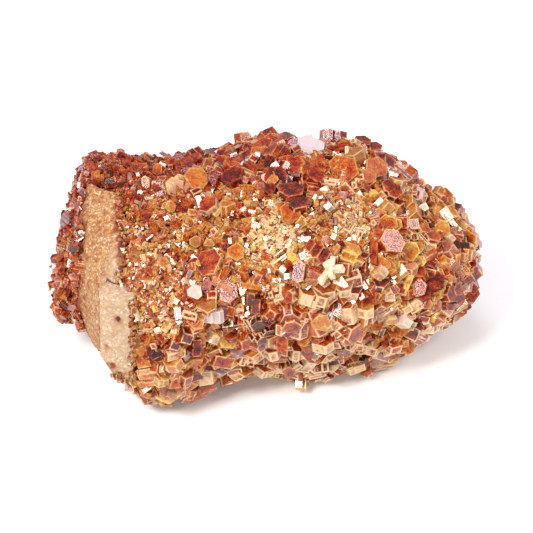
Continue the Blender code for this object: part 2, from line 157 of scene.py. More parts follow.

# The largest crystals, each with its place and pose as seen from there: millimetres right of the
# middle and above it, width across corners, thickness, how far its flat end leans right and up
# from facing the viewer, and its turn about its own axis, in degrees. Then its tone, and from 0 to 1
# how creamy its sides are and how much painted glint lies on its faces, a pale pearly patch that
# stands in for a lamp's reflection.
LARGE_CRYSTALS = (
    (49.7, 9.6, 7.4, 2.6, -24, -12, 12, "orange", 0.2, 0.0),
    (46.0, 4.2, 4.8, 3.0, -48, 42, 5, "rust", 0.3, 0.7),
    (40.4, 2.4, 6.4, 2.6, -22, 58, 30, "rust", 0.3, 0.5),
    (43.6, 9.2, 5.0, 2.2, 6, 8, 0, "tan", 0.4, 0.0),
    (41.2, 6.6, 4.4, 3.0, 28, 36, 15, "rust", 0.6, 0.5),
    (52.0, 5.8, 4.2, 3.4, 46, 10, 0, "rust", 0.2, 0.9),
    (31.6, 18.2, 5.0, 3.8, 22, 30, 20, "red", 0.4, 0.0),
    (37.6, 17.4, 4.6, 2.2, -20, 38, 0, "red", 0.4, 0.8),
    (41.8, 17.0, 5.2, 3.0, -30, 14, 25, "orange", 0.5, 0.0),
    (30.6, 10.8, 5.2, 2.4, 0, 6, 10, "ochre", 0.6, 0.0),
    (35.6, 3.4, 5.6, 2.4, 3, 4, 20, "tan", 0.5, 0.0),
    (35.3, -0.6, 5.4, 3.2, 10, 52, 0, "orange", 0.3, 0.7),
    (42.8, -4.0, 6.0, 3.6, -8, 22, 12, "wine", 0.1, 0.2),
    (38.6, -1.8, 4.2, 3.0, -16, 30, 5, "red", 0.2, 0.0),
    (47.6, 2.0, 4.6, 4.6, 12, 64, 10, "rust", 0.2, 0.0),
    (51.0, -7.0, 4.6, 3.4, 20, 5, 0, "red", 0.3, 0.0),
    (-8.0, 21.8, 6.0, 4.6, -26, 38, 8, "wine", 0.1, 0.2),
    (1.9, 22.4, 8.4, 3.6, 12, 12, 18, "wine", 0.1, 0.35),
    (7.0, 24.3, 5.4, 2.8, -12, 20, 0, "red", 0.3, 0.3),
    (11.4, 29.6, 6.6, 2.6, 2, 42, 30, "red", 0.3, 1.0),
    (5.0, 33.2, 3.8, 3.2, -12, 48, 0, "wine", 0.1, 0.6),
    (19.6, 24.4, 8.0, 3.2, 0, 26, 15, "orange", 0.2, 0.0),
    (27.2, 24.0, 6.2, 3.0, 22, 30, 0, "orange", 0.6, 0.6),
    (5.8, 13.6, 5.8, 2.8, 4, 6, 5, "orange", 0.4, 0.0),
    (5.9, 17.6, 6.2, 3.4, 4, 48, 30, "wine", 0.3, 0.0),
    (14.2, -5.8, 7.4, 3.2, 2, 40, 28, "red", 0.95, 0.0),
    (21.2, -6.8, 6.6, 3.2, 16, 44, 5, "wine", 0.9, 0.2),
    (9.6, -7.8, 6.2, 3.2, 26, 54, 15, "rust", 1.0, 0.0),
    (8.2, -1.6, 5.0, 3.2, -12, 14, 10, "red", 0.5, 0.0),
    (20.4, 3.6, 5.4, 2.6, 20, 40, 0, "tan", 0.6, 0.0),
    (24.4, 0.2, 6.4, 3.0, 62, -8, 25, "wine", 0.3, 0.2),
    (18.2, -10.4, 6.0, 3.2, -20, 12, 20, "wine", 0.9, 0.0),
    (13.0, 3.6, 4.6, 3.2, -20, 20, 0, "red", 0.6, 0.0),
    (34.0, -13.0, 4.6, 3.4, -34, 20, 12, "tan", 0.8, 0.9),
    (40.0, -16.0, 7.6, 2.2, 4, 74, 30, "wine", 0.9, 0.0),
    (42.6, -12.8, 5.4, 3.4, 58, 30, 0, "rust", 0.3, 0.5),
    (31.8, -19.2, 5.8, 3.0, 10, 36, 8, "rust", 0.7, 0.4),
    (24.8, -11.0, 4.6, 2.6, 0, 56, 0, "ochre", 0.9, 0.0),
    (23.2, -24.6, 5.0, 3.4, -10, 30, 20, "tan", 0.9, 0.0),
    (37.8, -5.2, 4.6, 2.4, -12, 6, 0, "rust", 0.4, 0.0),
    (-12.4, -12.2, 5.4, 3.4, -8, 60, 0, "red", 0.4, 0.9),
    (-17.6, -14.6, 4.8, 3.4, 20, 22, 10, "orange", 0.3, 0.0),
    (-20.9, -17.8, 6.2, 3.2, -52, 12, 22, "wine", 0.4, 0.2),
    (-17.9, -20.0, 4.4, 4.4, 12, 72, 0, "wine", 0.2, 0.0),
    (-11.0, -23.6, 8.0, 3.4, 34, 58, 28, "rust", 0.3, 0.2),
    (-23.4, -23.6, 4.8, 3.4, -16, 32, 12, "ochre", 0.4, 0.0),
    (-20.4, -27.0, 5.2, 3.2, 12, 38, 5, "red", 0.3, 0.0),
    (-18.8, -31.0, 5.0, 3.8, 22, 40, 18, "rust", 0.4, 0.0),
    (-14.8, -27.8, 5.8, 3.8, -12, 66, 30, "rust", 1.0, 0.0),
    (-24.2, -32.4, 6.6, 3.2, -4, 4, 10, "tan", 0.4, 0.7),
    (-9.6, -19.2, 6.2, 2.8, 26, 4, 0, "tan", 0.5, 0.3),
    (-6.4, -26.4, 5.6, 4.2, 38, 18, 14, "ochre", 0.7, 0.3),
    (-27.2, -22.0, 5.4, 3.6, -22, 16, 25, "dark", 0.2, 0.3),
    (-22.8, 20.4, 5.8, 2.6, 6, 2, 6, "tan", 0.3, 0.75),
    (-17.8, 21.6, 6.4, 4.2, 8, 34, 0, "ochre", 0.4, 0.0),
    (-13.8, 21.8, 4.8, 4.4, 24, 20, 12, "wine", 0.2, 0.3),
    (-14.2, 14.6, 5.0, 3.0, -24, 34, 5, "red", 0.9, 0.0),
    (-9.8, 14.0, 4.2, 4.0, -4, 58, 0, "ochre", 0.4, 0.0),
    (-14.0, 0.4, 6.8, 3.4, -20, 18, 10, "red", 0.9, 0.0),
    (-7.6, 3.4, 4.4, 2.6, 0, 4, 0, "ochre", 0.5, 0.0),
    (-9.4, -7.0, 5.4, 3.0, -8, 12, 20, "red", 0.5, 0.0),
    (-14.2, -9.8, 5.6, 3.0, 0, 26, 0, "ochre", 0.5, 0.0),
    (-2.2, -9.6, 4.8, 3.8, 6, 66, 30, "wine", 0.2, 0.0),
    (-18.2, -6.2, 4.2, 2.6, 10, 0, 0, "tan", 0.5, 0.9),
    (1.6, -21.0, 5.6, 3.2, -14, 44, 8, "red", 0.9, 0.0),
    (7.4, -21.4, 5.4, 3.4, 12, 50, 22, "red", 0.9, 0.0),
    (14.0, -19.6, 5.8, 3.2, -6, 42, 5, "rust", 0.9, 0.0),
    (-0.6, -25.4, 5.2, 3.2, 18, 34, 0, "rust", 0.9, 0.0),
    (26.4, -20.2, 5.2, 3.0, 14, 40, 12, "red", 0.8, 0.0),
    (28.4, -4.2, 5.2, 2.8, 18, 38, 18, "dark", 0.5, 0.0),
)

# The other large crystals: width across corners, thickness as a share of it, and room between middles
CRYSTAL_SEED = 5
CRYSTAL_COUNT = 115
CRYSTAL_WIDTH = (3.8, 6.4)
CRYSTAL_THICKNESS = (0.45, 0.95)
CRYSTAL_SPACING = 0.82
CRYSTAL_LEAN = 0.5
TRIES_PER_CRYSTAL = 25
FINE_CRUST = 2.7  # where the crust's usual width is under this, the scene leaves them out
FINE_END_WIDTH = 0.7  # they are narrower by this left of the bare band
EDGE_MARGIN = 2.0  # and keep this far from it
HARDLY_BARE = 0.01
END_MARGIN = 1.8
GRID_STEPS = 240
GRID_DEGREES = 2.0
FACING_VIEWER = 0.05  # what leans away further than this is out of sight
LARGE_TONE_SPREAD = 0.15
LARGE_PAINTED_GLINT = (1.5, 6)  # factor and exponent that make the table's painted glint count on the brightest only
LARGE_SQUEEZED_SHARE = 0.3
LARGE_TWIN_SHARE = 0.6

# The cluster of stubby pale crystals on the front
SPRIG_PLACE = (15.6, -0.6)
# Each blade: how far its end leans right and up from facing the viewer, its turn, and its length
SPRIG_BLADES = (
    (-54, -44, 0, 4.8),
    (22, 60, 30, 3.6),
    (66, 4, 10, 3.8),
    (16, -54, 25, 2.6),
    (-26, 44, 50, 2.8),
)
SPRIG_SECTION = (1.3, 2.1)
SPRIG_ROUNDING = 0.14
SPRIG_RISE = 1.6
SPRIG_SPACING = 0.2
SPRIG_REACH = 0.4  # how far a blade is pushed out along itself, as a share of its length
SPRIG_RELIEF = ((1.6, 0.12), (0.6, 0.05))

# Small crystals that stand out: how much they turn to the viewer and how much at random, and the
# painted glint over which they are turned to mirror the left lamp instead
MARKED_FACING = 0.8
MARKED_LEAN = 0.5
MIRRORING_PAINTED_GLINT = 0.8
MARKED_PAINTED_GLINT = 0.3  # the part of the painted glint below that their faces show
MARKED_SQUEEZED_SHARE = 0.8

# Each has its place as seen, width, thickness, tone, creaminess and painted glint, a pale patch for a lamp's
# reflection
SMALL_MARKS = (
    (-2.0, 27.5, 2.4, 1.4, "red", 0.3, 1.0),
    (-26.0, 27.5, 3.2, 2.0, "dark", 0.3, 0.9),
    (6.8, 18.8, 2.0, 1.2, "red", 0.3, 1.0),
    (14.5, 19.0, 2.2, 1.4, "tan", 0.5, 1.0),
    (12.3, 17.0, 1.6, 1.2, "tan", 0.5, 1.0),
    (15.3, 14.5, 2.8, 1.8, "red", 0.5, 1.0),
    (18.0, 27.0, 2.4, 1.6, "red", 0.4, 1.0),
    (-12.1, 29.5, 2.4, 1.6, "red", 0.3, 0.9),
    (-13.8, -17.9, 3.4, 2.2, "tan", 0.4, 1.0),
    (-3.2, -13.9, 3.0, 1.8, "rust", 0.4, 0.9),
    (4.2, -0.5, 2.4, 1.6, "tan", 0.5, 1.0),
    (5.3, -2.8, 2.6, 1.4, "tan", 0.6, 1.0),
    (18.0, -0.3, 2.4, 1.6, "tan", 0.5, 0.9),
    (-14.0, 28.3, 3.0, 2.0, "wine", 0.2, 0.6),
    (-20.5, -22.0, 2.6, 1.8, "wine", 0.3, 0.7),
    (-24.2, 15.5, 3.0, 1.8, "ochre", 0.4, 0.0),
    (-30.0, 21.0, 3.2, 1.6, "orange", 0.2, 0.0),
    (-27.0, 23.8, 3.4, 1.8, "rust", 0.1, 0.0),
    (-17.8, 6.0, 3.0, 1.8, "ochre", 0.5, 0.0),
    (-14.0, 5.5, 2.8, 1.8, "tan", 0.6, 0.0),
    (26.5, -19.0, 3.0, 2.0, "tan", 0.9, 0.0),
    (35.8, -21.0, 3.0, 2.0, "tan", 0.8, 0.0),
    (-29.8, -31.5, 2.8, 2.0, "orange", 0.4, 0.0),
    (-29.8, -33.2, 2.6, 2.0, "orange", 0.5, 0.0),
    (24.2, -23.0, 3.0, 2.2, "dark", 0.3, 0.0),
    (52.3, 4.8, 2.8, 2.0, "dark", 0.2, 0.0),
    (31.8, -5.8, 3.2, 2.0, "rust", 0.5, 0.0),
    (6.0, -7.3, 3.4, 2.2, "rust", 0.8, 0.0),
    (9.0, 23.5, 3.2, 2.2, "rust", 0.3, 0.0),
    (30.8, -12.8, 3.4, 2.6, "tan", 0.9, 0.2),
)

# How the crust changes over the lump. Each row is a place as seen and the reach of its influence, the
# usual width of its crystals in millimetres, their tone, how creamy their sides are, and how far they
# stand up rather than out from the surface.
REGIONS = (
    (-49.0, 2.0, 9.0, 2.3, 0.29, 0.0, 0.0),
    (-50.0, -12.0, 8.0, 2.2, 0.34, 0.1, 0.0),
    (-46.0, 17.0, 8.0, 1.9, 0.22, 0.0, 0.0),
    (-38.0, 25.0, 10.0, 2.1, 0.2, 0.0, 0.1),
    (-31.0, 16.0, 6.0, 1.6, 0.38, 0.1, 0.1),
    (-31.5, 4.0, 6.0, 1.1, 0.46, 0.15, 0.0),
    (-31.0, -8.0, 6.0, 1.1, 0.48, 0.2, 0.0),
    (-28.0, -17.0, 5.0, 1.6, 0.46, 0.2, 0.1),
    (-23.0, 4.0, 6.0, 1.8, 0.46, 0.15, 0.1),
    (0.5, 7.5, 5.0, 1.0, 0.88, 0.75, 0.0),
    (6.0, 10.0, 4.0, 1.1, 0.78, 0.7, 0.0),
    (-12.0, 6.0, 8.0, 2.1, 0.5, 0.1, 0.2),
    (4.0, -3.0, 7.0, 1.9, 0.5, 0.2, 0.2),
    (11.0, 12.0, 7.0, 1.7, 0.42, 0.15, 0.1),
    (-6.0, 13.0, 6.0, 2.0, 0.5, 0.15, 0.1),
    (-15.0, 25.0, 9.0, 2.9, 0.28, 0.1, 0.3),
    (5.0, 28.0, 10.0, 2.9, 0.27, 0.12, 0.3),
    (22.0, 21.0, 6.0, 2.4, 0.5, 0.35, 0.2),
    (33.0, 20.0, 9.0, 3.2, 0.44, 0.25, 0.2),
    (23.0, 12.0, 5.0, 1.5, 0.62, 0.6, 0.1),
    (40.0, 8.0, 10.0, 3.5, 0.5, 0.3, 0.2),
    (46.0, -4.0, 9.0, 3.5, 0.44, 0.3, 0.3),
    (32.0, -8.0, 9.0, 3.8, 0.54, 0.45, 0.5),
    (36.0, -18.0, 8.0, 3.6, 0.52, 0.6, 0.5),
    (15.0, -14.0, 10.0, 4.6, 0.44, 0.6, 0.7),
    (-4.0, -22.0, 10.0, 4.8, 0.42, 0.4, 0.7),
    (10.0, -24.0, 8.0, 3.6, 0.42, 0.75, 0.6),
    (-20.0, -26.0, 9.0, 5.0, 0.44, 0.25, 0.6),
    (-10.0, -11.0, 7.0, 3.5, 0.46, 0.25, 0.4),
)
ELSEWHERE = (3.1, 0.36, 0.3, 0.3)  # the same four values where no region reaches
ELSEWHERE_WEIGHT = 0.04

# The crust's bed lies this far under the outer surface, and dives into the rock where that is bare.
# Part of its rings are evenly spaced and the others closer together near the ends.
BED_DEPTH = 1.4
BED_DIVE = 3.2
BED_STEPS = 162
BED_DEGREES = 1.5
BED_EVEN_SHARE = 0.6
BED_RELIEF = ((4.0, 0.35), (1.8, 0.35), (0.9, 0.2))
# The bed's tone is a low share of the crust's: painted shade in the gaps between crystals
BED_TONE_AND_SHADE = (0.55, 0.25)  # share of the crust's tone, and what is added where the crust is finest
FINEST_CRUST = 1.6

# The three sizes of filling crystals: width as a share of the region's, room between middles as a
# share of their own width, how much of them stands out of the bed, the most in millimetres that they
# stand over the surface, number of sites tried, the most crystals that are kept, and how much deeper
# they lie for each millimetre by which the region's width is over the coarse one
MEDIUM = ((0.65, 1.2), 0.56, (0.45, 0.8), 1.5, 26000, 4300, 0.0)
SMALL = ((0.36, 0.64), 0.58, (0.5, 0.9), 0.7, 42000, 8100, 0.45)
GRAIN = ((0.24, 0.42), 0.7, (0.5, 0.95), 0.3, 52000, 8200, 0.5)
SMALLEST_GRAIN = 0.5
COARSE_CRUST = 2.6
MARGIN_FROM_ENDS = 0.25
SITE_EDGES = 301  # edges of the cells along X that sites are drawn from
RAGGED = 1.3  # crystals stray up to this far over the edges of the bare band
STRAY_LIMIT = (0.2, 0.6)  # and stand where it is bare by less than a share drawn from here
LOWEST_CRYSTAL = 0.6  # crystals that would reach lower than this are lifted clear of the sheet
COLUMN_SHARE = 0.4
COLUMN_LENGTH = (0.9, 1.7)
PLATE_THICKNESS = (0.35, 0.8)

# Crystals lie alike over patches of this size: shifts of the noise for a direction's three parts and
# for the turn, and how much the turn follows it and how much it is random
PATCH_SIZE = 6.0
PATCH_SHIFTS = (0.0, 300.0, 600.0)
TURN_SHIFT = 900.0
TURN_SPREAD = (2.0, 0.3)
FLATTENED = 0.7  # the share of a patch's direction out of the surface that is taken off it
AXIS_SHARES = (0.9, 0.25, 0.8)  # of the patch's direction, the outward one and the upright one
UPRIGHT = (0.0, -0.2, 0.9)
AXIS_SPREAD = 0.35
SIZE_SORTING = (0.8, 1.2)  # wider crystals are placed first, by their width times a share drawn from here

# Looks of the filling crystals. The spread of the tone is a constant and a share of the tone.
TONE_SPREAD = (0.03, 0.34)
CREAM_SPREAD = 0.22
# Some carry a painted glint: a pale pearly patch that stands in for a lamp's reflection
PAINTED_GLINT_SHARE = 0.07
PAINTED_GLINT_RANGE = (0.3, 1.0)
FILLING_PAINTED_GLINT = 0.35
GLINT_SHARE = 0.09  # crystals with a side that mirrors the left lamp, and how the share grows with tone
GLINT_BY_TONE = (3.0, -0.4, 0.15)
GLINT_SPREAD = 0.03

# Some crystals carry smaller ones in parallel. These stand aside by a share of the width, along by a
# share of the thickness, and sink by most of what that would lift them.
TWIN_SHARE = 0.4
TWINS_AT_MOST = 3
TWIN_ASIDE = (0.3, 0.75)
TWIN_ALONG = (-0.5, 0.5)
TWIN_SINKING = 0.9
TWIN_SCALE = (0.5, 0.95)
TWIN_LOOK_SPREAD = 0.05

# Sides are uneven by up to a share, and some crystals have two opposite sides closer together
UNEVEN = 0.17
SQUEEZED_SHARE = 0.5
SQUEEZE = (0.6, 0.85)

# Bevelled ends: a constant and a share of the smallest side distance, up to a share of the half
# thickness. The pale edges, partly wear and partly a painted highlight: a constant and a share of
# the width. A face's far edges are out of reach.
BEVEL = (0.03, 0.02)
BEVEL_AT_MOST = 0.2
PALE_EDGE_WIDTH = (0.035, 0.01)
FAR = 1000.0

# Sizes in millimetres of the features in the surface finishes, and growth lines in radians per millimetre
MOTTLE = 2.4
SPECKLE = 0.35
FLECK = 0.6
GROWTH_LINES = 11.0
DRUSE_GRAIN = 0.7
ROCK_PATCH = 5.0
RUSTY_SPECK = 1.3
ROCK_GRAIN = 0.55
ROCK_DUST = 0.5
PAPER_FIBRE = 1.5
ROCK_BUMP = 0.4
LEDGE_BUMP = 0.35
SPRIG_BUMP = 0.08

SITE_SEED = 23
NOISE_TABLE = 4096
NOISE_MIXERS = (73856093, 19349663, 83492791)  # primes that scatter a cell's place over the table

# The lamps: direction from the specimen, distance, width, strength and colour
LAMPS = (
    ((-0.5, -0.42, 0.85), 0.75, 0.27, 28.0, "#FFFFFF"),
    ((0.75, -0.1, 0.8), 0.8, 0.27, 14.0, "#FFFFFF"),
    ((-0.15, 0.6, 0.85), 0.8, 0.3, 9.0, "#F0EAFF"),
    ((0.1, -0.8, 0.3), 0.9, 0.35, 6.5, "#FFFFFF"),
)


def linear(hex_colour):
    """A colour of four linear values from an sRGB hex value."""
    values = [int(hex_colour[i : i + 2], 16) / 255 for i in (1, 3, 5)]
    return tuple(v / 12.92 if v <= 0.04045 else ((v + 0.055) / 1.055) ** 2.4 for v in values) + (1.0,)


def smooth_curve(places, knots, values):
    """A cubic through the knots, with each knot's slope taken from its neighbours."""
    slopes = np.gradient(values, knots)
    index = np.clip(np.searchsorted(knots, places) - 1, 0, len(knots) - 2)
    span = knots[index + 1] - knots[index]
    s = np.clip((places - knots[index]) / span, 0.0, 1.0)
    rise = values[index + 1] - values[index]
    cubic = s * s * (3 - 2 * s)
    start = s * (1 - s) ** 2 * slopes[index] * span
    finish = s * s * (s - 1) * slopes[index + 1] * span
    return values[index] + cubic * rise + start + finish


def section_at(x):
    """Middle and half sizes of the section at x: (middle y, middle z, half depth, half height)."""
    table = np.array(SECTIONS)
    knots = table[:, 0]
    middle_y = smooth_curve(x, knots, (table[:, 1] + table[:, 2]) / 2)
    middle_z = smooth_curve(x, knots, (table[:, 3] + table[:, 4]) / 2)
    depth_squared = smooth_curve(x, knots, ((table[:, 2] - table[:, 1]) / 2) ** 2)
    height_squared = smooth_curve(x, knots, ((table[:, 4] - table[:, 3]) / 2) ** 2)
    half_depth = np.sqrt(np.maximum(depth_squared, 0))
    half_height = np.sqrt(np.maximum(height_squared, 0))
    return middle_y, middle_z, half_depth, half_height


def plain_surface(x, around):
    """Points of the plain lump: at angle 0 the back, 90 the top, 180 the front and 270 the underside.

    Each section is a superellipse: half depth times cosine, and half height times sine, each to a power.
    """
    middle_y, middle_z, half_depth, half_height = section_at(x)
    cosine = np.cos(np.radians(around))
    sine = np.sin(np.radians(around))
    power = 2 / SQUARENESS
    y = middle_y + half_depth * np.sign(cosine) * np.abs(cosine) ** power
    z = middle_z + half_height * np.sign(sine) * np.abs(sine) ** power
    return np.stack([x + 0 * y, y, z], axis=-1)


def swells(points):
    """Height of the broad swells at each point: a sum of sine waves in directions drawn once."""
    draw = np.random.default_rng(SWELL_SEED)
    height = np.zeros(points.shape[:-1])
    for wavelength in SWELL_WAVES:
        direction = draw.normal(size=3)
        direction /= np.linalg.norm(direction)
        phase = draw.uniform(0, 2 * math.pi)
        height += np.sin(points @ direction * (2 * math.pi / wavelength) + phase)
    return SWELL_HEIGHT * height


def unit(vectors):
    """The vectors at length 1."""
    return vectors / np.maximum(np.linalg.norm(vectors, axis=-1, keepdims=True), 1e-9)


def normals_at(x, around):
    """Outward directions of the plain lump, from the slopes along and around it."""
    step_x = 0.15
    step_around = 0.8
    x = np.clip(x, SECTIONS[0][0] + step_x, SECTIONS[-1][0] - step_x)
    along = plain_surface(x + step_x, around) - plain_surface(x - step_x, around)
    across = plain_surface(x, around + step_around) - plain_surface(x, around - step_around)
    return unit(np.cross(across, along))


def blend_step(value, start, finish):
    """0 before start, 1 past finish, and smooth between them."""
    s = np.clip((value - start) / (finish - start), 0, 1)
    return s * s * (3 - 2 * s)


def bareness(points, around, margin=0.0, softness=BAND_SOFTNESS, band=(BAND_LEFT, BAND_RIGHT)):
    """1 where the rock is bare, 0 under the crust: the band near the left end, and the underside.

    A margin in millimetres widens the bare part, and its edges are blended over twice the softness.
    The band is given by X of its left and right edges at the top and at the foot.
    """
    wave_y = np.sin(points[..., 1] * WOBBLE_WAVES[0] + 1.0)
    wobble = EDGE_WOBBLE * wave_y * np.cos(points[..., 2] * WOBBLE_WAVES[1])
    share = np.clip((around - BAND_ANGLES[0]) / (BAND_ANGLES[1] - BAND_ANGLES[0]), 0, 1)
    left = band[0][0] + (band[0][1] - band[0][0]) * share - margin
    right = band[1][0] + (band[1][1] - band[1][0]) * share + margin
    x = points[..., 0] + wobble
    inside = blend_step(x, left - softness, left + softness)
    inside = inside * (1 - blend_step(x, right - softness, right + softness))
    degrees = TOP_SOFTNESS + 2 * margin
    span = blend_step(around, BAND_ANGLES[0] - degrees, BAND_ANGLES[0] + degrees)
    span = span * (1 - blend_step(around, BAND_ANGLES[1], BAND_ANGLES[1] + FOOT_SOFTNESS))
    height = points[..., 2] + wobble - margin
    low = 1 - blend_step(height, UNDERSIDE_HEIGHT - 1.0, UNDERSIDE_HEIGHT + 1.0)
    return np.maximum(inside * span, low)


def surface(x, around, height=0.0, lowest=FOOT_CLEARANCE):
    """Points of the lump's outer surface, moved out within their section by the swells and the height."""
    plain = plain_surface(x, around)
    outward = unit(normals_at(x, around) * (0.0, 1.0, 1.0))
    points = plain + outward * (swells(plain) + height)[..., None]
    points[..., 0] -= CENTRE[0]
    points[..., 1] -= CENTRE[1]
    points[..., 2] = np.maximum(points[..., 2], lowest)
    return points


def lattice_noise(points, size):
    """Smooth random values from -1 to 1: those of the nearest corners of a grid of cubes, blended."""
    table = np.random.default_rng(SITE_SEED).uniform(-1, 1, NOISE_TABLE)
    cell = np.floor(points / size).astype(np.int64)
    part = points / size - cell
    part = part * part * (3 - 2 * part)
    value = np.zeros(points.shape[:-1])
    for corner in np.ndindex(2, 2, 2):
        place = cell + corner
        mixed = np.bitwise_xor.reduce(place * NOISE_MIXERS, axis=-1)
        weight = np.prod(np.where(np.array(corner) == 1, part, 1 - part), axis=-1)
        value += weight * table[mixed % NOISE_TABLE]
    return value


def roughened(points, sizes_and_heights):
    """The sum of lattice noises, each with its grain size and height in millimetres."""
    total = np.zeros(points.shape[:-1])
    for size, height in sizes_and_heights:
        total += height * lattice_noise(points, size)
    return total


def view_directions():
    """The directions to the right, up and towards the viewer."""
    rise = math.radians(SEEN_RISE)
    right = np.array([1.0, 0.0, 0.0])
    up = np.array([0.0, math.sin(rise), math.cos(rise)])
    towards = np.array([0.0, -math.cos(rise), math.sin(rise)])
    return right, up, towards


def surface_grid():
    """A fine grid over the surface: places along X, angles, points and outward directions."""
    fine_x = np.linspace(SECTIONS[0][0] + END_MARGIN, SECTIONS[-1][0] - END_MARGIN, GRID_STEPS)
    grid_x, grid_around = np.meshgrid(fine_x, np.arange(0, 360, GRID_DEGREES), indexing="ij")
    return grid_x, grid_around, surface(grid_x, grid_around), normals_at(grid_x, grid_around)


def seen_at(right_mm, up_mm, grid):
    """The surface point seen at a place in the view, and its outward direction."""
    points, outward = grid[2].reshape(-1, 3), grid[3].reshape(-1, 3)
    right, up, towards = view_directions()
    offset = points - (0.0, 0.0, SEEN_MIDDLE_HEIGHT)
    scale = SEEN_FROM / (SEEN_FROM - offset @ towards)
    away = np.hypot(offset @ right * scale - right_mm, offset @ up * scale + SEEN_SHIFT - up_mm)
    away = np.where(outward @ towards > FACING_VIEWER, away, np.inf)
    index = np.argmin(away)
    return points[index], outward[index]


def leaning_axis(lean_right, lean_up):
    """The direction that leans this many degrees right and up from facing the viewer."""
    right, up, towards = view_directions()
    a, b = math.radians(lean_right), math.radians(lean_up)
    return towards * math.cos(a) * math.cos(b) + right * math.sin(a) * math.cos(b) + up * math.sin(b)


def seated(point, outward, axis, width, thickness):
    """The middle of a crystal that is sunk into the surface by its share, and not too proud of it."""
    along = abs(float(outward @ axis))
    reach = thickness / 2 * along + width / 2 * math.sqrt(max(0.0, 1 - along * along))
    rise = min(reach * (1 - 2 * SUNK_SHARE), MOST_PROUD - reach)
    return point + outward * rise


def other_crystals(grid, large, draw):
    """Large crystals at random places, thinned so that they stand clear of each other."""
    grid_x, grid_around, points, outward = grid
    along = np.linalg.norm(np.gradient(points, axis=0), axis=-1)
    across = np.linalg.norm(np.roll(points, -1, axis=1) - points, axis=-1)
    bare = bareness(plain_surface(grid_x, grid_around), grid_around, EDGE_MARGIN, band=SOLID_BAND)
    weight = (along * across * (bare < HARDLY_BARE)).ravel()
    tries = draw.choice(weight.size, size=CRYSTAL_COUNT * TRIES_PER_CRYSTAL, p=weight / weight.sum())
    widths = draw.uniform(*CRYSTAL_WIDTH, size=tries.size)
    widths *= np.where(grid_x.ravel()[tries] < SOLID_BAND[0][0], FINE_END_WIDTH, 1.0)
    kept_points = np.array([crystal[0] for crystal in large])
    kept_widths = np.array([crystal[2] for crystal in large])
    made = []
    for index, width in zip(tries, widths):
        point = points.reshape(-1, 3)[index]
        room = CRYSTAL_SPACING * (kept_widths + width) / 2
        if (np.linalg.norm(kept_points - point, axis=1) < room).any():
            continue
        facing = outward.reshape(-1, 3)[index]
        axis = facing + draw.normal(size=3) * CRYSTAL_LEAN
        axis /= np.linalg.norm(axis)
        thickness = width * draw.uniform(*CRYSTAL_THICKNESS)
        middle = seated(point, facing, axis, width, thickness)
        made.append((middle, axis, width, thickness, draw.uniform(0, 60), facing))
        kept_points = np.vstack([kept_points, point])
        kept_widths = np.append(kept_widths, width)
        if len(made) == CRYSTAL_COUNT:
            break
    return made


def region_values(points, grid):
    """The crust's usual width, tone, creaminess and stand at each point: the regions' values, weighted
    by a bell curve of the distance to each region's middle."""
    weights = [np.full(points.shape[0], ELSEWHERE_WEIGHT)]
    values = [ELSEWHERE]
    for right_mm, up_mm, reach, *row in REGIONS:
        middle, _ = seen_at(right_mm, up_mm, grid)
        weights.append(np.exp(-np.sum((points - middle) ** 2, axis=-1) / reach**2))
        values.append(row)
    weights = np.array(weights)
    return (weights / weights.sum(axis=0)).T @ np.array(values)


def frames_of(axes, turns):
    """Each crystal's own three directions as columns: two across it, turned about it, and its axis."""
    helper = np.where(np.abs(axes[:, 2:]) < 0.9, (0.0, 0.0, 1.0), (1.0, 0.0, 0.0))
    first = unit(np.cross(helper, axes))
    second = np.cross(axes, first)
    cosine, sine = np.cos(turns)[:, None], np.sin(turns)[:, None]
    return np.stack([first * cosine + second * sine, second * cosine - first * sine, axes], axis=-1)


def crystal_set(middle, frames, outward, width, thickness, tone, cream, painted_glint, draw, squeezed):
    """Crystals as arrays in a dictionary.

    Each has six side distances, uneven by a little. The squeezed share of them has two opposite sides
    closer together.
    """
    count = len(width)
    apothem = width / 2 * math.cos(math.radians(30))
    sides = apothem[:, None] * (1 + UNEVEN * draw.uniform(-1, 1, (count, 6)))
    pair = draw.integers(0, 3, count)[:, None]
    closer = np.where(draw.uniform(0, 1, count) < squeezed, draw.uniform(*SQUEEZE, count), 1.0)
    return {
        "middle": middle,
        "frames": frames,
        "outward": outward,
        "width": width,
        "thickness": thickness,
        "sides": sides * np.where(np.arange(6) % 3 == pair, closer[:, None], 1.0),
        "body": np.stack([tone.clip(0, 1), cream.clip(0, 1), draw.uniform(0, 1, count)], axis=-1),
        "painted_glint": np.clip(painted_glint, 0, 1),
    }


def with_twins(crystals, share, draw):
    """The crystals, and smaller ones that grew in parallel on that share of them, to one side."""
    grouped = np.flatnonzero(draw.uniform(0, 1, len(crystals["width"])) < share)
    first = np.repeat(grouped, draw.integers(1, TWINS_AT_MOST + 1, len(grouped)))
    twins = {key: values[first] for key, values in crystals.items()}
    count = len(first)
    angle = (draw.integers(0, 6, count) * math.pi / 3 + math.pi / 6)[:, None]
    frames = twins["frames"]
    aside = frames[:, :, 0] * np.cos(angle) + frames[:, :, 1] * np.sin(angle)
    shift = aside * (twins["width"] * draw.uniform(*TWIN_ASIDE, count))[:, None]
    shift = shift + frames[:, :, 2] * (twins["thickness"] * draw.uniform(*TWIN_ALONG, count))[:, None]
    over = np.maximum(np.sum(shift * twins["outward"], axis=-1, keepdims=True), 0)
    scale = draw.uniform(*TWIN_SCALE, count)
    twins["middle"] = twins["middle"] + shift - TWIN_SINKING * over * twins["outward"]
    twins["width"] = twins["width"] * scale
    twins["thickness"] = twins["thickness"] * scale
    twins["sides"] = twins["sides"] * scale[:, None]
    twins["body"] = np.clip(twins["body"] + draw.normal(0, TWIN_LOOK_SPREAD, (count, 3)), 0, 1)
    return {key: np.concatenate([values, twins[key]]) for key, values in crystals.items()}


def patch_directions(points):
    """A direction for each point that changes slowly over the lump, so that neighbours lie alike."""
    return unit(np.stack([lattice_noise(points + shift, PATCH_SIZE) for shift in PATCH_SHIFTS], axis=-1))


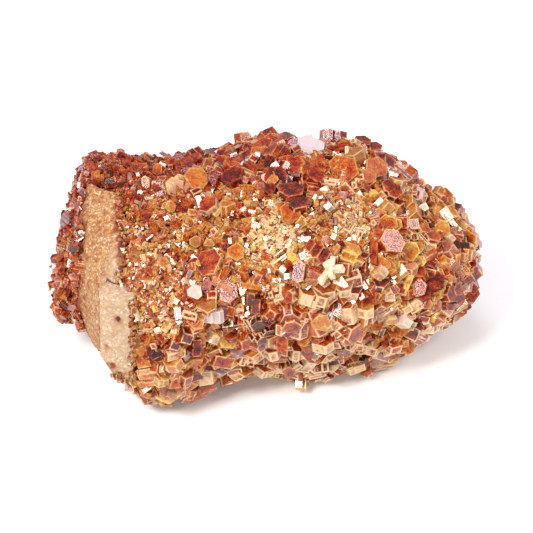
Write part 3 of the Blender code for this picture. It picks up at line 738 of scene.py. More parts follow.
def all_large_crystals(grid, draw):
    """The crystals of the table and the other large ones, in the poses that the solid has.

    Of the others, those in fine crust and inside the ledge are left out.
    """
    rows = []
    looks = []
    for right_mm, up_mm, width, thickness, lean_right, lean_up, turn, tone, cream, painted_glint in LARGE_CRYSTALS:
        point, outward = seen_at(right_mm, up_mm, grid)
        axis = leaning_axis(lean_right, lean_up)
        rows.append((seated(point, outward, axis, width, thickness), axis, width, thickness, turn, outward))
        looks.append((TONES[tone], cream, LARGE_PAINTED_GLINT[0] * painted_glint ** LARGE_PAINTED_GLINT[1]))
    others = other_crystals(grid, rows, np.random.default_rng(CRYSTAL_SEED))
    middles = np.array([row[0] for row in others])
    values = region_values(middles, grid)
    coarse = (values[:, 0] > FINE_CRUST) & ~inside_ledge(middles)
    values = values[coarse]
    rows += [row for row, keep in zip(others, coarse) if keep]
    middle = np.array([row[0] for row in rows])
    more = np.stack([values[:, 1], values[:, 2], 0 * values[:, 1]], axis=-1)
    more[:, 0] += draw.normal(0, LARGE_TONE_SPREAD, len(more))
    looks = np.vstack([looks, more])
    frames = []
    for _, axis, _, _, turn, _ in rows:
        pose = Vector(axis).to_track_quat("Z", "Y").to_matrix()
        frames.append(np.array(pose @ Matrix.Rotation(math.radians(turn + 30), 3, "Z")))
    width = np.array([row[2] for row in rows])
    thickness = np.array([row[3] for row in rows])
    outward = np.array([row[5] for row in rows])
    frames = np.array(frames)
    crystals = crystal_set(middle, frames, outward, width, thickness, *looks.T, draw, LARGE_SQUEEZED_SHARE)
    return with_twins(crystals, LARGE_TWIN_SHARE, draw)


def glinting_frames(count, draw):
    """Poses with a side that faces half way between the viewer and the left lamp, and so mirrors it."""
    mirror = unit(view_directions()[2] + unit(np.array(LAMPS[0][0])))
    facing = unit(mirror + draw.normal(0, GLINT_SPREAD, (count, 3)))
    axes = unit(np.cross(facing, draw.normal(size=(count, 3))))
    first = facing * math.cos(math.pi / 6) - np.cross(axes, facing) * math.sin(math.pi / 6)
    return np.stack([first, np.cross(axes, first), axes], axis=-1)


def marked_crystals(grid, draw):
    """The small crystals of the table, the bright ones turned so that a side glints, and those that
    grow on the ledge."""
    towards = view_directions()[2]
    rows = []
    frames = []
    for right_mm, up_mm, width, thickness, tone, cream, painted_glint in SMALL_MARKS:
        point, outward = seen_at(right_mm, up_mm, grid)
        axis = unit(outward + MARKED_FACING * towards + draw.normal(0, MARKED_LEAN, 3))
        frame_now = frames_of(axis[None], draw.uniform(0, math.pi / 3, 1))[0]
        if painted_glint > MIRRORING_PAINTED_GLINT:
            frame_now = glinting_frames(1, draw)[0]
            axis = frame_now[:, 2]
        frames.append(frame_now)
        middle = seated(point, outward, axis, width, thickness)
        rows.append((*middle, *outward, width, thickness, TONES[tone], cream, MARKED_PAINTED_GLINT * painted_glint))
    turn = turned(LEDGE_TURN)
    half = np.array(LEDGE_SIZE) / 2
    for _ in range(LEDGE_CRYSTALS):
        place = [LEDGE_EDGE, *(draw.uniform(*part) for part in LEDGE_EDGE_SPAN)]
        if draw.uniform(0, 1) < LEDGE_FOOT_SHARE:
            place = [draw.uniform(*part) for part in LEDGE_FOOT_SPAN]
        middle = turn @ (half * place + draw.normal(0, LEDGE_SCATTER, 3)) + LEDGE_CENTRE
        width = draw.uniform(*LEDGE_CRYSTAL_WIDTH)
        thickness = width * draw.uniform(*LEDGE_CRYSTAL_THICKNESS)
        looks = (draw.uniform(*LEDGE_CRYSTAL_TONE), LEDGE_CRYSTAL_CREAM, 0.0)
        rows.append((*middle, *turn[:, 0], width, thickness, *looks))
        frames.append(frames_of(unit(draw.normal(size=(1, 3))), draw.uniform(0, math.pi / 3, 1))[0])
    rows = np.array(rows)
    frames = np.array(frames)
    return crystal_set(rows[:, :3], frames, rows[:, 3:6], *rows[:, 6:].T, draw, MARKED_SQUEEZED_SHARE)


def inside_ledge(points):
    """True where a point lies inside the ledge's block."""
    local = (points - LEDGE_CENTRE) @ turned(LEDGE_TURN)
    return (np.abs(local) < np.array(LEDGE_SIZE) / 2).all(axis=-1)


def random_sites(count, draw):
    """Places and angles on the surface, spread evenly over its area by drawing cells by their area."""
    start, finish = SECTIONS[0][0] + MARGIN_FROM_ENDS, SECTIONS[-1][0] - MARGIN_FROM_ENDS
    edges_x = np.linspace(start, finish, SITE_EDGES)
    grid_x, grid_around = np.meshgrid(edges_x, np.arange(0, 361, GRID_DEGREES), indexing="ij")
    points = surface(grid_x, grid_around)
    along = points[1:, :-1] - points[:-1, :-1]
    across = points[:-1, 1:] - points[:-1, :-1]
    area = np.linalg.norm(np.cross(along, across), axis=-1).ravel()
    picked = draw.choice(area.size, size=count, p=area / area.sum())
    row, column = np.divmod(picked, along.shape[1])
    step_x = edges_x[1] - edges_x[0]
    x = edges_x[row] + step_x * draw.uniform(0, 1, count)
    return x, GRID_DEGREES * (column + draw.uniform(0, 1, count))


def thinned(points, rooms, most):
    """Indices of points that keep clear of those kept before them by their mean room."""
    kept = np.empty((most, 3))
    kept_rooms = np.empty(most)
    chosen = []
    for index, (point, room) in enumerate(zip(points, rooms)):
        count = len(chosen)
        apart = np.sum((kept[:count] - point) ** 2, axis=1)
        if (apart < ((kept_rooms[:count] + room) / 2) ** 2).any():
            continue
        kept[count] = point
        kept_rooms[count] = room
        chosen.append(index)
        if len(chosen) == most:
            break
    return np.array(chosen)


def filling_crystals(grid, kind, draw):
    """Crystals of one size over all the crust.

    Each stands on the bed, leaning at random from a mean of its patch's own direction, the surface's
    outward direction and an upright one. The widest are placed first, and those too close to one that
    stands already are dropped.
    """
    share, spacing, out, most_over, tries, most, sinking = kind
    x, around = random_sites(tries, draw)
    plain = plain_surface(x, around)
    stray = RAGGED * draw.uniform(0, 1, tries) ** 2
    crusted = bareness(plain, around, -stray) < draw.uniform(*STRAY_LIMIT, tries)
    crusted &= ~inside_ledge(surface(x, around))
    x, around, plain = x[crusted], around[crusted], plain[crusted]
    bare = bareness(plain, around)
    points = surface(x, around)
    outward = normals_at(x, around)
    values = region_values(points, grid)
    width = np.maximum(values[:, 0] * draw.uniform(*share, len(x)), SMALLEST_GRAIN)
    order = np.argsort(-width * draw.uniform(*SIZE_SORTING, len(x)))
    order = order[thinned(points[order], spacing * width[order], most)]
    points, outward, values, width, bare = (part[order] for part in (points, outward, values, width, bare))
    count = len(width)
    stand = values[:, 3:]
    alike = patch_directions(points)
    alike = alike - FLATTENED * outward * np.sum(alike * outward, axis=-1, keepdims=True)
    by_patch, by_surface, by_stand = AXIS_SHARES
    axis = by_patch * alike + by_surface * outward * (1 - stand) + by_stand * stand * UPRIGHT
    axis = unit(axis + draw.normal(0, AXIS_SPREAD, (count, 3)))
    is_column = draw.uniform(0, 1, count) < COLUMN_SHARE
    column = draw.uniform(*COLUMN_LENGTH, count)
    thickness = width * np.where(is_column, column, draw.uniform(*PLATE_THICKNESS, count))
    along = np.abs(np.sum(outward * axis, axis=-1))
    reach = thickness / 2 * along + width / 2 * np.sqrt(1 - along**2)
    lower = sinking * np.clip(values[:, 0] - COARSE_CRUST, 0, None)
    rise = reach * (2 * draw.uniform(*out, count) - 1) - BED_DEPTH
    rise = np.minimum(rise, most_over - reach) - lower
    middle = points + outward * (rise + bare * (BED_DEPTH + BARE_RISE))[:, None]

    usual = values[:, 1]
    tone = usual + (TONE_SPREAD[0] + TONE_SPREAD[1] * usual) * draw.normal(0, 1, count)
    cream = values[:, 2] + draw.normal(0, CREAM_SPREAD, count)
    # Some carry a painted glint, a pale patch that stands in for a lamp's reflection
    has_painted_glint = draw.uniform(0, 1, count) < PAINTED_GLINT_SHARE
    painted_glint = FILLING_PAINTED_GLINT * np.where(has_painted_glint, draw.uniform(*PAINTED_GLINT_RANGE, count), 0.0)
    turn = TURN_SPREAD[0] * lattice_noise(points + TURN_SHIFT, PATCH_SIZE)
    frames = frames_of(axis, turn + draw.normal(0, TURN_SPREAD[1], count))
    slope, start, least = GLINT_BY_TONE
    glinting = draw.uniform(0, 1, count) < GLINT_SHARE * np.clip(slope * usual + start, least, 1)
    frames = np.where(glinting[:, None, None], glinting_frames(count, draw), frames)
    return crystal_set(middle, frames, outward, width, thickness, tone, cream, painted_glint, draw, SQUEEZED_SHARE)


def new_object(name, points, corners, sizes, smooth):
    """A new object at the origin from points in millimetres, the faces' corners in a row, and how many
    corners each face has."""
    data = bpy.data.meshes.new(name)
    data.vertices.add(len(points))
    data.vertices.foreach_set("co", (points * MM).astype(np.float32).ravel())
    data.loops.add(len(corners))
    data.loops.foreach_set("vertex_index", corners.astype(np.int32))
    data.polygons.add(len(sizes))
    starts = np.cumsum(sizes) - sizes
    data.polygons.foreach_set("loop_start", starts.astype(np.int32))
    data.update(calc_edges=True)
    if smooth:
        data.shade_smooth()
    else:
        data.shade_flat()
    made = bpy.data.objects.new(name, data)
    bpy.context.scene.collection.objects.link(made)
    return made


def store(made, name, domain, values):
    """Keeps values on the mesh's points, faces or corners, one or three for each."""
    kind, field = ("FLOAT", "value") if values.ndim == 1 else ("FLOAT_VECTOR", "vector")
    attribute = made.data.attributes.new(name, kind, domain)
    attribute.data.foreach_set(field, values.astype(np.float32).ravel())


def hexagons(sides, insets):
    """Corners of six-sided rings, and their sides' distances: those given less the ring's inset.

    Two neighbouring sides with unit normals m and n, 60 degrees apart, at distances a and b, meet at
    (m (a - b/2) + n (b - a/2)) / 0.75.
    """
    distance = sides[:, None, :] - insets[..., None]
    before = np.roll(distance, 1, axis=2)
    angle = np.radians(60 * np.arange(6) + 30)
    normal = np.stack([np.cos(angle), np.sin(angle)], axis=-1)
    earlier = np.roll(normal, 1, axis=0)
    corner = earlier * (before - distance / 2)[..., None] + normal * (distance - before / 2)[..., None]
    return corner / 0.75, distance


def corner_rows(corners, count):
    """Three values at each corner of six faces a crystal, in the order of its corners."""
    return np.moveaxis(np.stack(corners), (0, 1), (2, 3)).reshape(count, -1)


def prisms(name, crystals, bevelled):
    """All the crystals as one mesh: rings carried up each one's axis and closed by fans.

    Plain ones have a ring at each end, and bevelled ones two. Each face corner keeps its distances in
    millimetres from the face's left and top edges, and the face's length and height and the width of
    its pale edges, partly wear and partly a painted highlight, so that the finish can follow the edges.
    The third value of place is 0 on a side, 0.5 on a bevel and 1 on an end.
    """
    half = crystals["thickness"] / 2
    nothing = 0 * half
    ends = [(-half, nothing), (half, nothing)]
    if bevelled:
        apothem = crystals["sides"].min(axis=1)
        bevel = np.minimum(BEVEL[0] + BEVEL[1] * apothem, BEVEL_AT_MOST * half)
        ends = [(-half, bevel), (bevel - half, nothing), (half - bevel, nothing), (half, bevel)]
    heights = np.stack([height for height, _ in ends], axis=1)
    insets = np.stack([inset for _, inset in ends], axis=1)
    count, rings = heights.shape
    corner, distance = hexagons(crystals["sides"], insets)
    level = np.broadcast_to(heights[:, :, None, None], (count, rings, 6, 1))
    middles = np.zeros((count, 2, 3))
    middles[:, :, 2] = heights[:, [0, -1]]
    local = np.concatenate([corner, level], axis=-1).reshape(count, rings * 6, 3)
    local = np.concatenate([local, middles], axis=1)
    points = crystals["middle"][:, None] + np.einsum("nij,nvj->nvi", crystals["frames"], local)
    points[..., 2] += np.maximum(LOWEST_CRYSTAL - points[..., 2].min(axis=1, keepdims=True), 0)

    ring = np.arange(rings * 6).reshape(rings, 6)
    after = np.roll(ring, -1, axis=1)
    quads = np.stack([ring[:-1], after[:-1], after[1:], ring[1:]], axis=-1).ravel()
    foot = np.stack([np.full(6, rings * 6), after[0], ring[0]], axis=-1).ravel()
    head = np.stack([np.full(6, rings * 6 + 1), ring[-1], after[-1]], axis=-1).ravel()
    template = np.concatenate([quads, foot, head])
    corners = (template + np.arange(count)[:, None] * local.shape[1]).ravel()
    faces = (rings - 1) * 6
    sizes = np.tile(np.concatenate([np.full(faces, 4), np.full(12, 3)]), count)
    made = new_object(name, points.reshape(-1, 3), corners, sizes, smooth=False)

    length = np.linalg.norm(np.roll(corner, -1, axis=2) - corner, axis=-1)
    zero = 0 * length[:, 0]
    pale_edge_width = (PALE_EDGE_WIDTH[0] + PALE_EDGE_WIDTH[1] * crystals["width"])[:, None] + zero
    place = []
    extent = []
    for band in range(rings - 1):
        if band == (rings - 1) // 2:
            side = length[:, band]
            rise = (heights[:, band + 1] - heights[:, band])[:, None] + zero
            marks = [[zero, rise, zero], [side, rise, zero], [side, zero, zero], [zero, zero, zero]]
            place.append(corner_rows(marks, count))
            extent.append(corner_rows([[side, rise, pale_edge_width]] * 4, count))
        else:
            place.append(corner_rows([[zero, zero, zero + 0.5]] * 4, count))
            extent.append(corner_rows([[zero, zero, pale_edge_width]] * 4, count))
    for end in (0, -1):
        rim = distance[:, end]
        marks = [[rim, rim, zero + 1], [zero, zero, zero + 1], [zero, zero, zero + 1]]
        place.append(corner_rows(marks, count))
        extent.append(corner_rows([[zero + FAR, zero + FAR, pale_edge_width]] * 3, count))
    store(made, "place", "CORNER", np.concatenate(place, axis=1).reshape(-1, 3))
    store(made, "extent", "CORNER", np.concatenate(extent, axis=1).reshape(-1, 3))
    # root is 0 at a crystal's highest point and 1 at its lowest; the finish darkens towards it as painted
    # shade
    over = np.einsum("nvi,ni->nv", points - crystals["middle"][:, None], crystals["outward"])
    root = 0.5 - 0.5 * over / np.abs(over).max(axis=1, keepdims=True)
    store(made, "root", "POINT", root.ravel())
    store(made, "body", "FACE", np.repeat(crystals["body"], faces + 12, axis=0))
    store(made, "painted_glint", "FACE", np.repeat(crystals["painted_glint"], faces + 12))
    return made


def loft(name, rings, first_tip, last_tip):
    """A closed surface: quads between neighbouring rings, and a fan to a point at each end."""
    count, around = rings.shape[:2]
    index = np.arange(count * around).reshape(count, around)
    after = np.roll(index, -1, axis=1)
    quads = np.stack([index[:-1], after[:-1], after[1:], index[1:]], axis=-1).ravel()
    left = np.stack([np.full(around, count * around), after[0], index[0]], axis=-1).ravel()
    right = np.stack([np.full(around, count * around + 1), index[-1], after[-1]], axis=-1).ravel()
    points = np.vstack([rings.reshape(-1, 3), first_tip, last_tip])
    sizes = np.concatenate([np.full((count - 1) * around, 4), np.full(2 * around, 3)])
    return new_object(name, points, np.concatenate([quads, left, right]), sizes, smooth=True)


def end_tips(inset):
    """The points that close a loft, moved in from both ends."""
    tips = []
    for end, side in ((SECTIONS[0], 1), (SECTIONS[-1], -1)):
        tips.append((end[0] + side * inset - CENTRE[0], end[1] - CENTRE[1], end[3]))
    return tips


def rounded_block(size, rounding, spacing):
    """Points, outward directions and quads of a block with rounded edges.

    Points of a lattice on the block's six sides are held at the rounding's distance from the block that
    is smaller by the rounding. Points on a shared edge are one.
    """
    size = np.array(size)
    steps = np.maximum(np.round(size / spacing).astype(int), 2)
    lattice = []
    for fixed in range(3):
        a, b = (fixed + 1) % 3, (fixed + 2) % 3
        grid_a, grid_b = np.meshgrid(np.arange(steps[a] + 1), np.arange(steps[b] + 1), indexing="ij")
        for end in (0, 1):
            places = np.zeros((*grid_a.shape, 3), int)
            places[..., a], places[..., b], places[..., fixed] = grid_a, grid_b, end * steps[fixed]
            cells = [places[:-1, :-1], places[1:, :-1], places[1:, 1:], places[:-1, 1:]]
            lattice.append(np.stack(cells if end else cells[::-1], axis=2).reshape(-1, 3))
    lattice, quads = np.unique(np.concatenate(lattice), axis=0, return_inverse=True)
    points = (lattice / steps - 0.5) * size
    inner = np.clip(points, rounding - size / 2, size / 2 - rounding)
    outward = unit(points - inner)
    return inner + outward * rounding, outward, quads.ravel()


def turned(degrees):
    """The rotation by these angles about X, then Y, then Z."""
    turn = Matrix.Identity(3)
    for angle, axis in zip(degrees, "XYZ"):
        turn = Matrix.Rotation(math.radians(angle), 3, axis) @ turn
    return np.array(turn)


def add(tree, kind, inputs=None, give=0, stops=None, **settings):
    """A new shader node with its settings, its inputs set to a value or linked, and a colour ramp's stops.

    It gives back the output of that number or name, or all the outputs for None.
    """
    node = tree.nodes.new("ShaderNode" + kind)
    for name, value in settings.items():
        setattr(node, name, value)
    for key, value in (inputs or {}).items():
        if isinstance(value, bpy.types.NodeSocket):
            tree.links.new(value, node.inputs[key])
        else:
            node.inputs[key].default_value = value
    if stops:
        ramp = node.color_ramp.elements
        while len(ramp) < len(stops):
            ramp.new(1.0)
        for element, (position, colour) in zip(ramp, stops):
            element.position = position
            element.color = colour
    return node.outputs if give is None else node.outputs[give]


def new_material(name):
    """A material with an empty tree."""
    material = bpy.data.materials.new(name)
    material.use_nodes = True
    material.node_tree.nodes.clear()
    return material, material.node_tree


def surfaced(tree, inputs):
    """Ends a tree with the shader, its inputs set or linked, and the output."""
    shader = add(tree, "BsdfPrincipled", inputs, "BSDF")
    add(tree, "OutputMaterial", {"Surface": shader}, None)


def per_metre(millimetres):
    """A texture's scale for features of this size."""
    return 1.0 / (millimetres * MM)


def stops_of(colours, **places):
    """A colour ramp's stops, from the colours' names and their places on it."""
    return [(place, linear(getattr(colours, name))) for name, place in places.items()]


def vanadinite_material(colours):
    """Vanadinite: a brittle lead mineral with a resinous to adamantine lustre on grown faces.

    Its red body is mottled and shows fine growth lines. Near the edges its tone is lighter, partly
    colour zoning and partly a painted glow of light through the thin edges, and a pale line runs along
    them that is partly wear and partly a painted highlight; small chips are pale too. Faces on the side
    of a crystal are often creamy round a darker middle: frosting, partly a painted reflection of pale
    surroundings. Some crystals are smoky, and some faces carry a painted glint, a pale pearly patch that
    stands in for a lamp's reflection. Painted shade darkens a crystal towards its root: the attribute
    root is 0 at its highest point and 1 at its lowest.
    """
    material, tree = new_material("vanadinite, grown faces")
    place, extent, body = (
        add(tree, "SeparateXYZ", {0: add(tree, "Attribute", give="Vector", attribute_name=name)}, None)
        for name in ("place", "extent", "body")
    )
    painted_glint = add(tree, "Attribute", give="Fac", attribute_name="painted_glint")
    root = add(tree, "Attribute", give="Fac", attribute_name="root")
    where = add(tree, "TexCoord", give="Object")
    mottle = add(
        tree, "TexNoise", {"Vector": where, "Scale": per_metre(MOTTLE), "Detail": 3.0, "Roughness": 0.5}
    )
    speckle = add(tree, "TexNoise", {"Vector": where, "Scale": per_metre(SPECKLE), "Detail": 2.0})
    fleck = add(
        tree, "TexNoise", {"Vector": where, "Scale": per_metre(FLECK), "Detail": 3.0, "Distortion": 1.0}
    )

    # The distance to the nearest edge, in millimetres, and from it the wavering pale edge: partly wear
    # and partly a painted highlight
    right = add(tree, "Math", {0: extent[0], 1: place[0]}, operation="SUBTRACT")
    foot = add(tree, "Math", {0: extent[1], 1: place[1]}, operation="SUBTRACT")
    sideways = add(tree, "Math", {0: place[0], 1: right}, operation="MINIMUM")
    upright = add(tree, "Math", {0: place[1], 1: foot}, operation="MINIMUM")
    nearest = add(tree, "Math", {0: sideways, 1: upright}, operation="MINIMUM")
    waver = add(tree, "MapRange", {0: speckle, 1: 0.35, 2: 0.65, 3: 0.3, 4: 1.6})
    pale_edge_width = add(tree, "Math", {0: extent[2], 1: waver}, operation="MULTIPLY")
    edge_at = add(tree, "Math", {0: nearest, 1: pale_edge_width}, operation="DIVIDE")
    edge = add(
        tree, "MapRange", {0: edge_at, 1: 0.5, 2: 1.3, 3: 1.0, 4: 0.0}, interpolation_type="SMOOTHSTEP"
    )

    # The body's tone: growth lines, mottling, flecks and a lighter rim, the rim partly colour zoning and
    # partly a painted glow of light through the thin edges
    rim = add(
        tree, "MapRange", {0: nearest, 1: 0.1, 2: 0.7, 3: 0.1, 4: -0.05}, interpolation_type="SMOOTHSTEP"
    )
    lines_at = add(tree, "Math", {0: place[1], 1: GROWTH_LINES, 2: mottle}, operation="MULTIPLY_ADD")
    lines = add(tree, "Math", {0: lines_at}, operation="SINE")
    line_tone = add(tree, "Math", {0: lines, 1: 0.035, 2: rim}, operation="MULTIPLY_ADD")
    patch = add(tree, "MapRange", {0: mottle, 1: 0.3, 2: 0.7, 3: -0.2, 4: 0.2})
    flecked = add(tree, "MapRange", {0: fleck, 1: 0.35, 2: 0.65, 3: -0.15, 4: 0.15})
    both = add(tree, "Math", {0: patch, 1: flecked}, operation="ADD")
    shift = add(tree, "Math", {0: line_tone, 1: both}, operation="ADD")
    tone = add(tree, "Math", {0: body[0], 1: shift}, operation="ADD", use_clamp=True)
    inside = add(tree, "ValToRGB", {0: tone}, stops=stops_of(
        colours, darkest=0.0, wine=0.14, red=0.28, rust=0.42, orange=0.56, ochre=0.7, tan=0.84, pale=1.0
    ))
    smoky = add(tree, "MapRange", {0: body[2], 1: 0.78, 2: 0.9, 3: 0.0, 4: 0.5})
    lighter = add(tree, "MapRange", {0: body[0], 1: 0.2, 2: 0.5, 3: 0.15, 4: 1.0})
    browner = add(tree, "Math", {0: smoky, 1: lighter}, operation="MULTIPLY")
    browned = add(tree, "Mix", {0: browner, 6: inside, 7: linear(colours.smoky)}, 2, data_type="RGBA")

    # Cream on the sides, less of it in the middle of a face: frosting, partly a painted reflection
    # of pale surroundings
    is_side = add(tree, "Math", {0: 1.0, 1: place[2]}, operation="SUBTRACT")
    creamy = add(tree, "Math", {0: is_side, 1: body[1]}, operation="MULTIPLY")
    window = add(
        tree, "MapRange", {0: nearest, 1: 0.12, 2: 0.5, 3: 0.2, 4: -0.42}, interpolation_type="SMOOTHSTEP"
    )
    uneven = add(tree, "Math", {0: both, 1: 0.8, 2: window}, operation="MULTIPLY_ADD")
    frost_and_reflection = add(tree, "Math", {0: creamy, 1: 1.1, 2: uneven}, operation="MULTIPLY_ADD")
    cream = add(
        tree, "MapRange", {0: frost_and_reflection, 1: 0.25, 2: 0.85, 3: 0.0, 4: 0.9}, interpolation_type="SMOOTHSTEP"
    )
    sided = add(tree, "Mix", {0: cream, 6: browned, 7: linear(colours.cream)}, 2, data_type="RGBA")
    # Painted glint: a pale pearly patch on some faces that stands in for a lamp's reflection
    painted_glint_strength = add(tree, "Math", {0: painted_glint, 1: 0.6}, operation="MULTIPLY")
    glint_painted = add(tree, "Mix", {0: painted_glint_strength, 6: sided, 7: linear(colours.painted_glint)}, 2, data_type="RGBA")

    # Pale edges, partly wear and partly a painted highlight, and pale chips, all fainter on dark
    # crystals; then painted shade towards the root over all
    wear_and_highlight_amount = add(tree, "MapRange", {0: body[2], 1: 0.1, 2: 1.0, 3: 0.05, 4: 0.9})
    wear_and_highlight_strength = add(tree, "Math", {0: lighter, 1: wear_and_highlight_amount}, operation="MULTIPLY")
    edge_wear_and_highlight = add(tree, "Math", {0: edge, 1: wear_and_highlight_strength}, operation="MULTIPLY")
    chips = add(tree, "MapRange", {0: speckle, 1: 0.6, 2: 0.7, 3: 0.0, 4: 0.7})
    chipped = add(tree, "Math", {0: chips, 1: wear_and_highlight_strength}, operation="MULTIPLY")
    wear_and_highlight = add(tree, "Math", {0: edge_wear_and_highlight, 1: chipped}, operation="MAXIMUM")
    edged = add(tree, "Mix", {0: wear_and_highlight, 6: glint_painted, 7: linear(colours.edge)}, 2, data_type="RGBA")
    # Painted shade: darker towards each crystal's root, where it sinks among its neighbours
    painted_root_shade = add(tree, "MapRange", {0: root, 1: 0.3, 2: 0.85, 3: 0.0, 4: 0.8})
    root_shaded = add(tree, "Mix", {0: painted_root_shade, 6: edged, 7: linear(colours.darkest)}, 2, data_type="RGBA")

    dull = add(tree, "MapRange", {0: speckle, 1: 0.35, 2: 0.7, 3: 0.05, 4: 0.25})
    swell = add(tree, "Math", {0: fleck, 1: 2.0, 2: speckle}, operation="MULTIPLY_ADD")
    relief = add(tree, "Math", {0: lines, 1: 0.06, 2: swell}, operation="MULTIPLY_ADD")
    bump = add(tree, "Bump", {"Strength": 0.25, "Distance": 0.07 * MM, "Height": relief})
    surfaced(tree, {"Base Color": root_shaded, "Roughness": dull, "IOR": 1.55, "Normal": bump})
    return material


def druse_material(colours):
    """The crust's bed: a tight druse of tiny vanadinite grains, glittering, and dark through its low
    tone: painted shade in the gaps between the crystals.
    """
    material, tree = new_material("vanadinite druse, fine grown")
    body = add(
        tree, "SeparateXYZ", {0: add(tree, "Attribute", give="Vector", attribute_name="body")}, None
    )
    where = add(tree, "TexCoord", give="Object")
    grains = add(tree, "TexVoronoi", {"Vector": where, "Scale": per_metre(DRUSE_GRAIN)}, None)
    grain = add(tree, "SeparateColor", {0: grains["Color"]})
    spread = add(tree, "MapRange", {0: grain, 1: 0.0, 2: 1.0, 3: -0.24, 4: 0.2})
    tone = add(tree, "Math", {0: body[0], 1: spread}, operation="ADD", use_clamp=True)
    inside = add(tree, "ValToRGB", {0: tone}, stops=stops_of(
        colours, darkest=0.0, wine=0.2, red=0.4, orange=0.6, ochre=0.8, cream=1.0
    ))
    bump = add(
        tree, "Bump", {"Strength": 0.8, "Distance": 0.3 * MM, "Height": grains["Distance"]}, invert=True
    )
    surfaced(tree, {"Base Color": inside, "Roughness": 0.35, "IOR": 1.6, "Normal": bump})
    return material


def rock_material(name, colours, palest, relief):
    """Granular matrix rock, broken by hand: dull sugary grains, tan and orange, with rusty specks.

    The attribute pale moves it towards the cream of the ledge, stain reddens it, and crack is 1 at the
    ledge and falls to 0 a millimetre away: a dark line, partly red-brown stain and partly painted shade
    in the crack round the ledge. The relief is the height of its grains in millimetres.
    """
    material, tree = new_material(name)
    where = add(tree, "TexCoord", give="Object")
    stain, pale, crack_stain_and_shade = (
        add(tree, "Attribute", give="Fac", attribute_name=label) for label in ("stain", "pale", "crack_stain_and_shade")
    )
    broad = add(
        tree, "TexNoise", {"Vector": where, "Scale": per_metre(ROCK_PATCH), "Detail": 4.0, "Roughness": 0.6}
    )
    specks = add(
        tree, "TexNoise", {"Vector": where, "Scale": per_metre(RUSTY_SPECK), "Detail": 4.0, "Roughness": 0.7}
    )
    grains = add(tree, "TexVoronoi", {"Vector": where, "Scale": per_metre(ROCK_GRAIN)}, None)
    grain = add(tree, "SeparateColor", {0: grains["Color"]}, None)
    fine = add(tree, "TexNoise", {"Vector": where, "Scale": per_metre(ROCK_DUST), "Detail": 3.0})

    ground = add(tree, "ValToRGB", {0: broad}, stops=stops_of(colours, ochre=0.38, tan=0.5, cream=0.64))
    scatter = add(tree, "Math", {0: fine, 1: 2.2, 2: -0.8}, operation="MULTIPLY_ADD")
    mixed_grain = add(tree, "Math", {0: grain[0], 1: 0.45, 2: scatter}, operation="MULTIPLY_ADD")
    grainy = add(tree, "ValToRGB", {0: mixed_grain}, stops=stops_of(
        colours, rust=0.1, ochre=0.24, tan=0.5, cream=0.7, white=0.86
    ))
    mixed = add(tree, "Mix", {0: 0.65, 6: ground, 7: grainy}, 2, data_type="RGBA")
    creamy = add(tree, "ValToRGB", {0: grain[1]}, stops=[
        (0.0, linear(colours.cream)),
        (0.3, linear(palest)),
        (0.75, linear(palest)),
        (1.0, linear(colours.white)),
    ])
    paler = add(tree, "Mix", {0: pale, 6: mixed, 7: creamy}, 2, data_type="RGBA")

    specked = add(tree, "MapRange", {0: specks, 1: 0.47, 2: 0.6, 3: 0.0, 4: 0.7})
    mottled = add(tree, "MapRange", {0: specks, 1: 0.38, 2: 0.58, 3: 0.35, 4: 1.25})
    patchy = add(tree, "Math", {0: stain, 1: mottled}, operation="MULTIPLY")
    darker = add(tree, "Math", {0: 1.0, 1: pale}, operation="SUBTRACT")
    rusty = add(
        tree, "Math", {0: specked, 1: darker, 2: patchy}, operation="MULTIPLY_ADD", use_clamp=True
    )
    stained = add(tree, "Mix", {0: rusty, 6: paler, 7: linear(colours.rust)}, 2, data_type="RGBA")
    # The dark line of the crack round the ledge: partly red-brown stain, partly painted shade
    waver = add(tree, "Math", {0: fine, 1: 0.5, 2: crack_stain_and_shade}, operation="MULTIPLY_ADD")
    line = add(tree, "MapRange", {0: waver, 1: 0.85, 2: 1.1, 3: 0.0, 4: 0.9})
    crack_stained_and_shaded = add(tree, "Mix", {0: line, 6: stained, 7: linear(colours.crack_stain_and_shade)}, 2, data_type="RGBA")

    height = add(tree, "Math", {0: grains["Distance"], 1: -0.2, 2: fine}, operation="MULTIPLY_ADD")
    rough = add(tree, "Math", {0: specks, 1: 2.5, 2: height}, operation="MULTIPLY_ADD")
    bump = add(tree, "Bump", {"Strength": 0.9, "Distance": relief * MM, "Height": rough})
    surfaced(tree, {"Base Color": crack_stained_and_shaded, "Roughness": 0.75, "IOR": 1.55, "Normal": bump})
    return material


def sheet_material(colour):
    """Paper: matt white, with a faint unevenness from its fibres."""
    material, tree = new_material("paper, matt white")
    where = add(tree, "TexCoord", give="Object")
    fibre = add(tree, "TexNoise", {"Vector": where, "Scale": per_metre(PAPER_FIBRE), "Detail": 2.0})
    tint = add(
        tree, "ValToRGB", {0: fibre},
        stops=[(0.0, tuple(0.985 * v for v in colour) + (1.0,)), (1.0, tuple(colour) + (1.0,))],
    )
    surfaced(tree, {"Base Color": tint, "Roughness": 0.9})
    return material


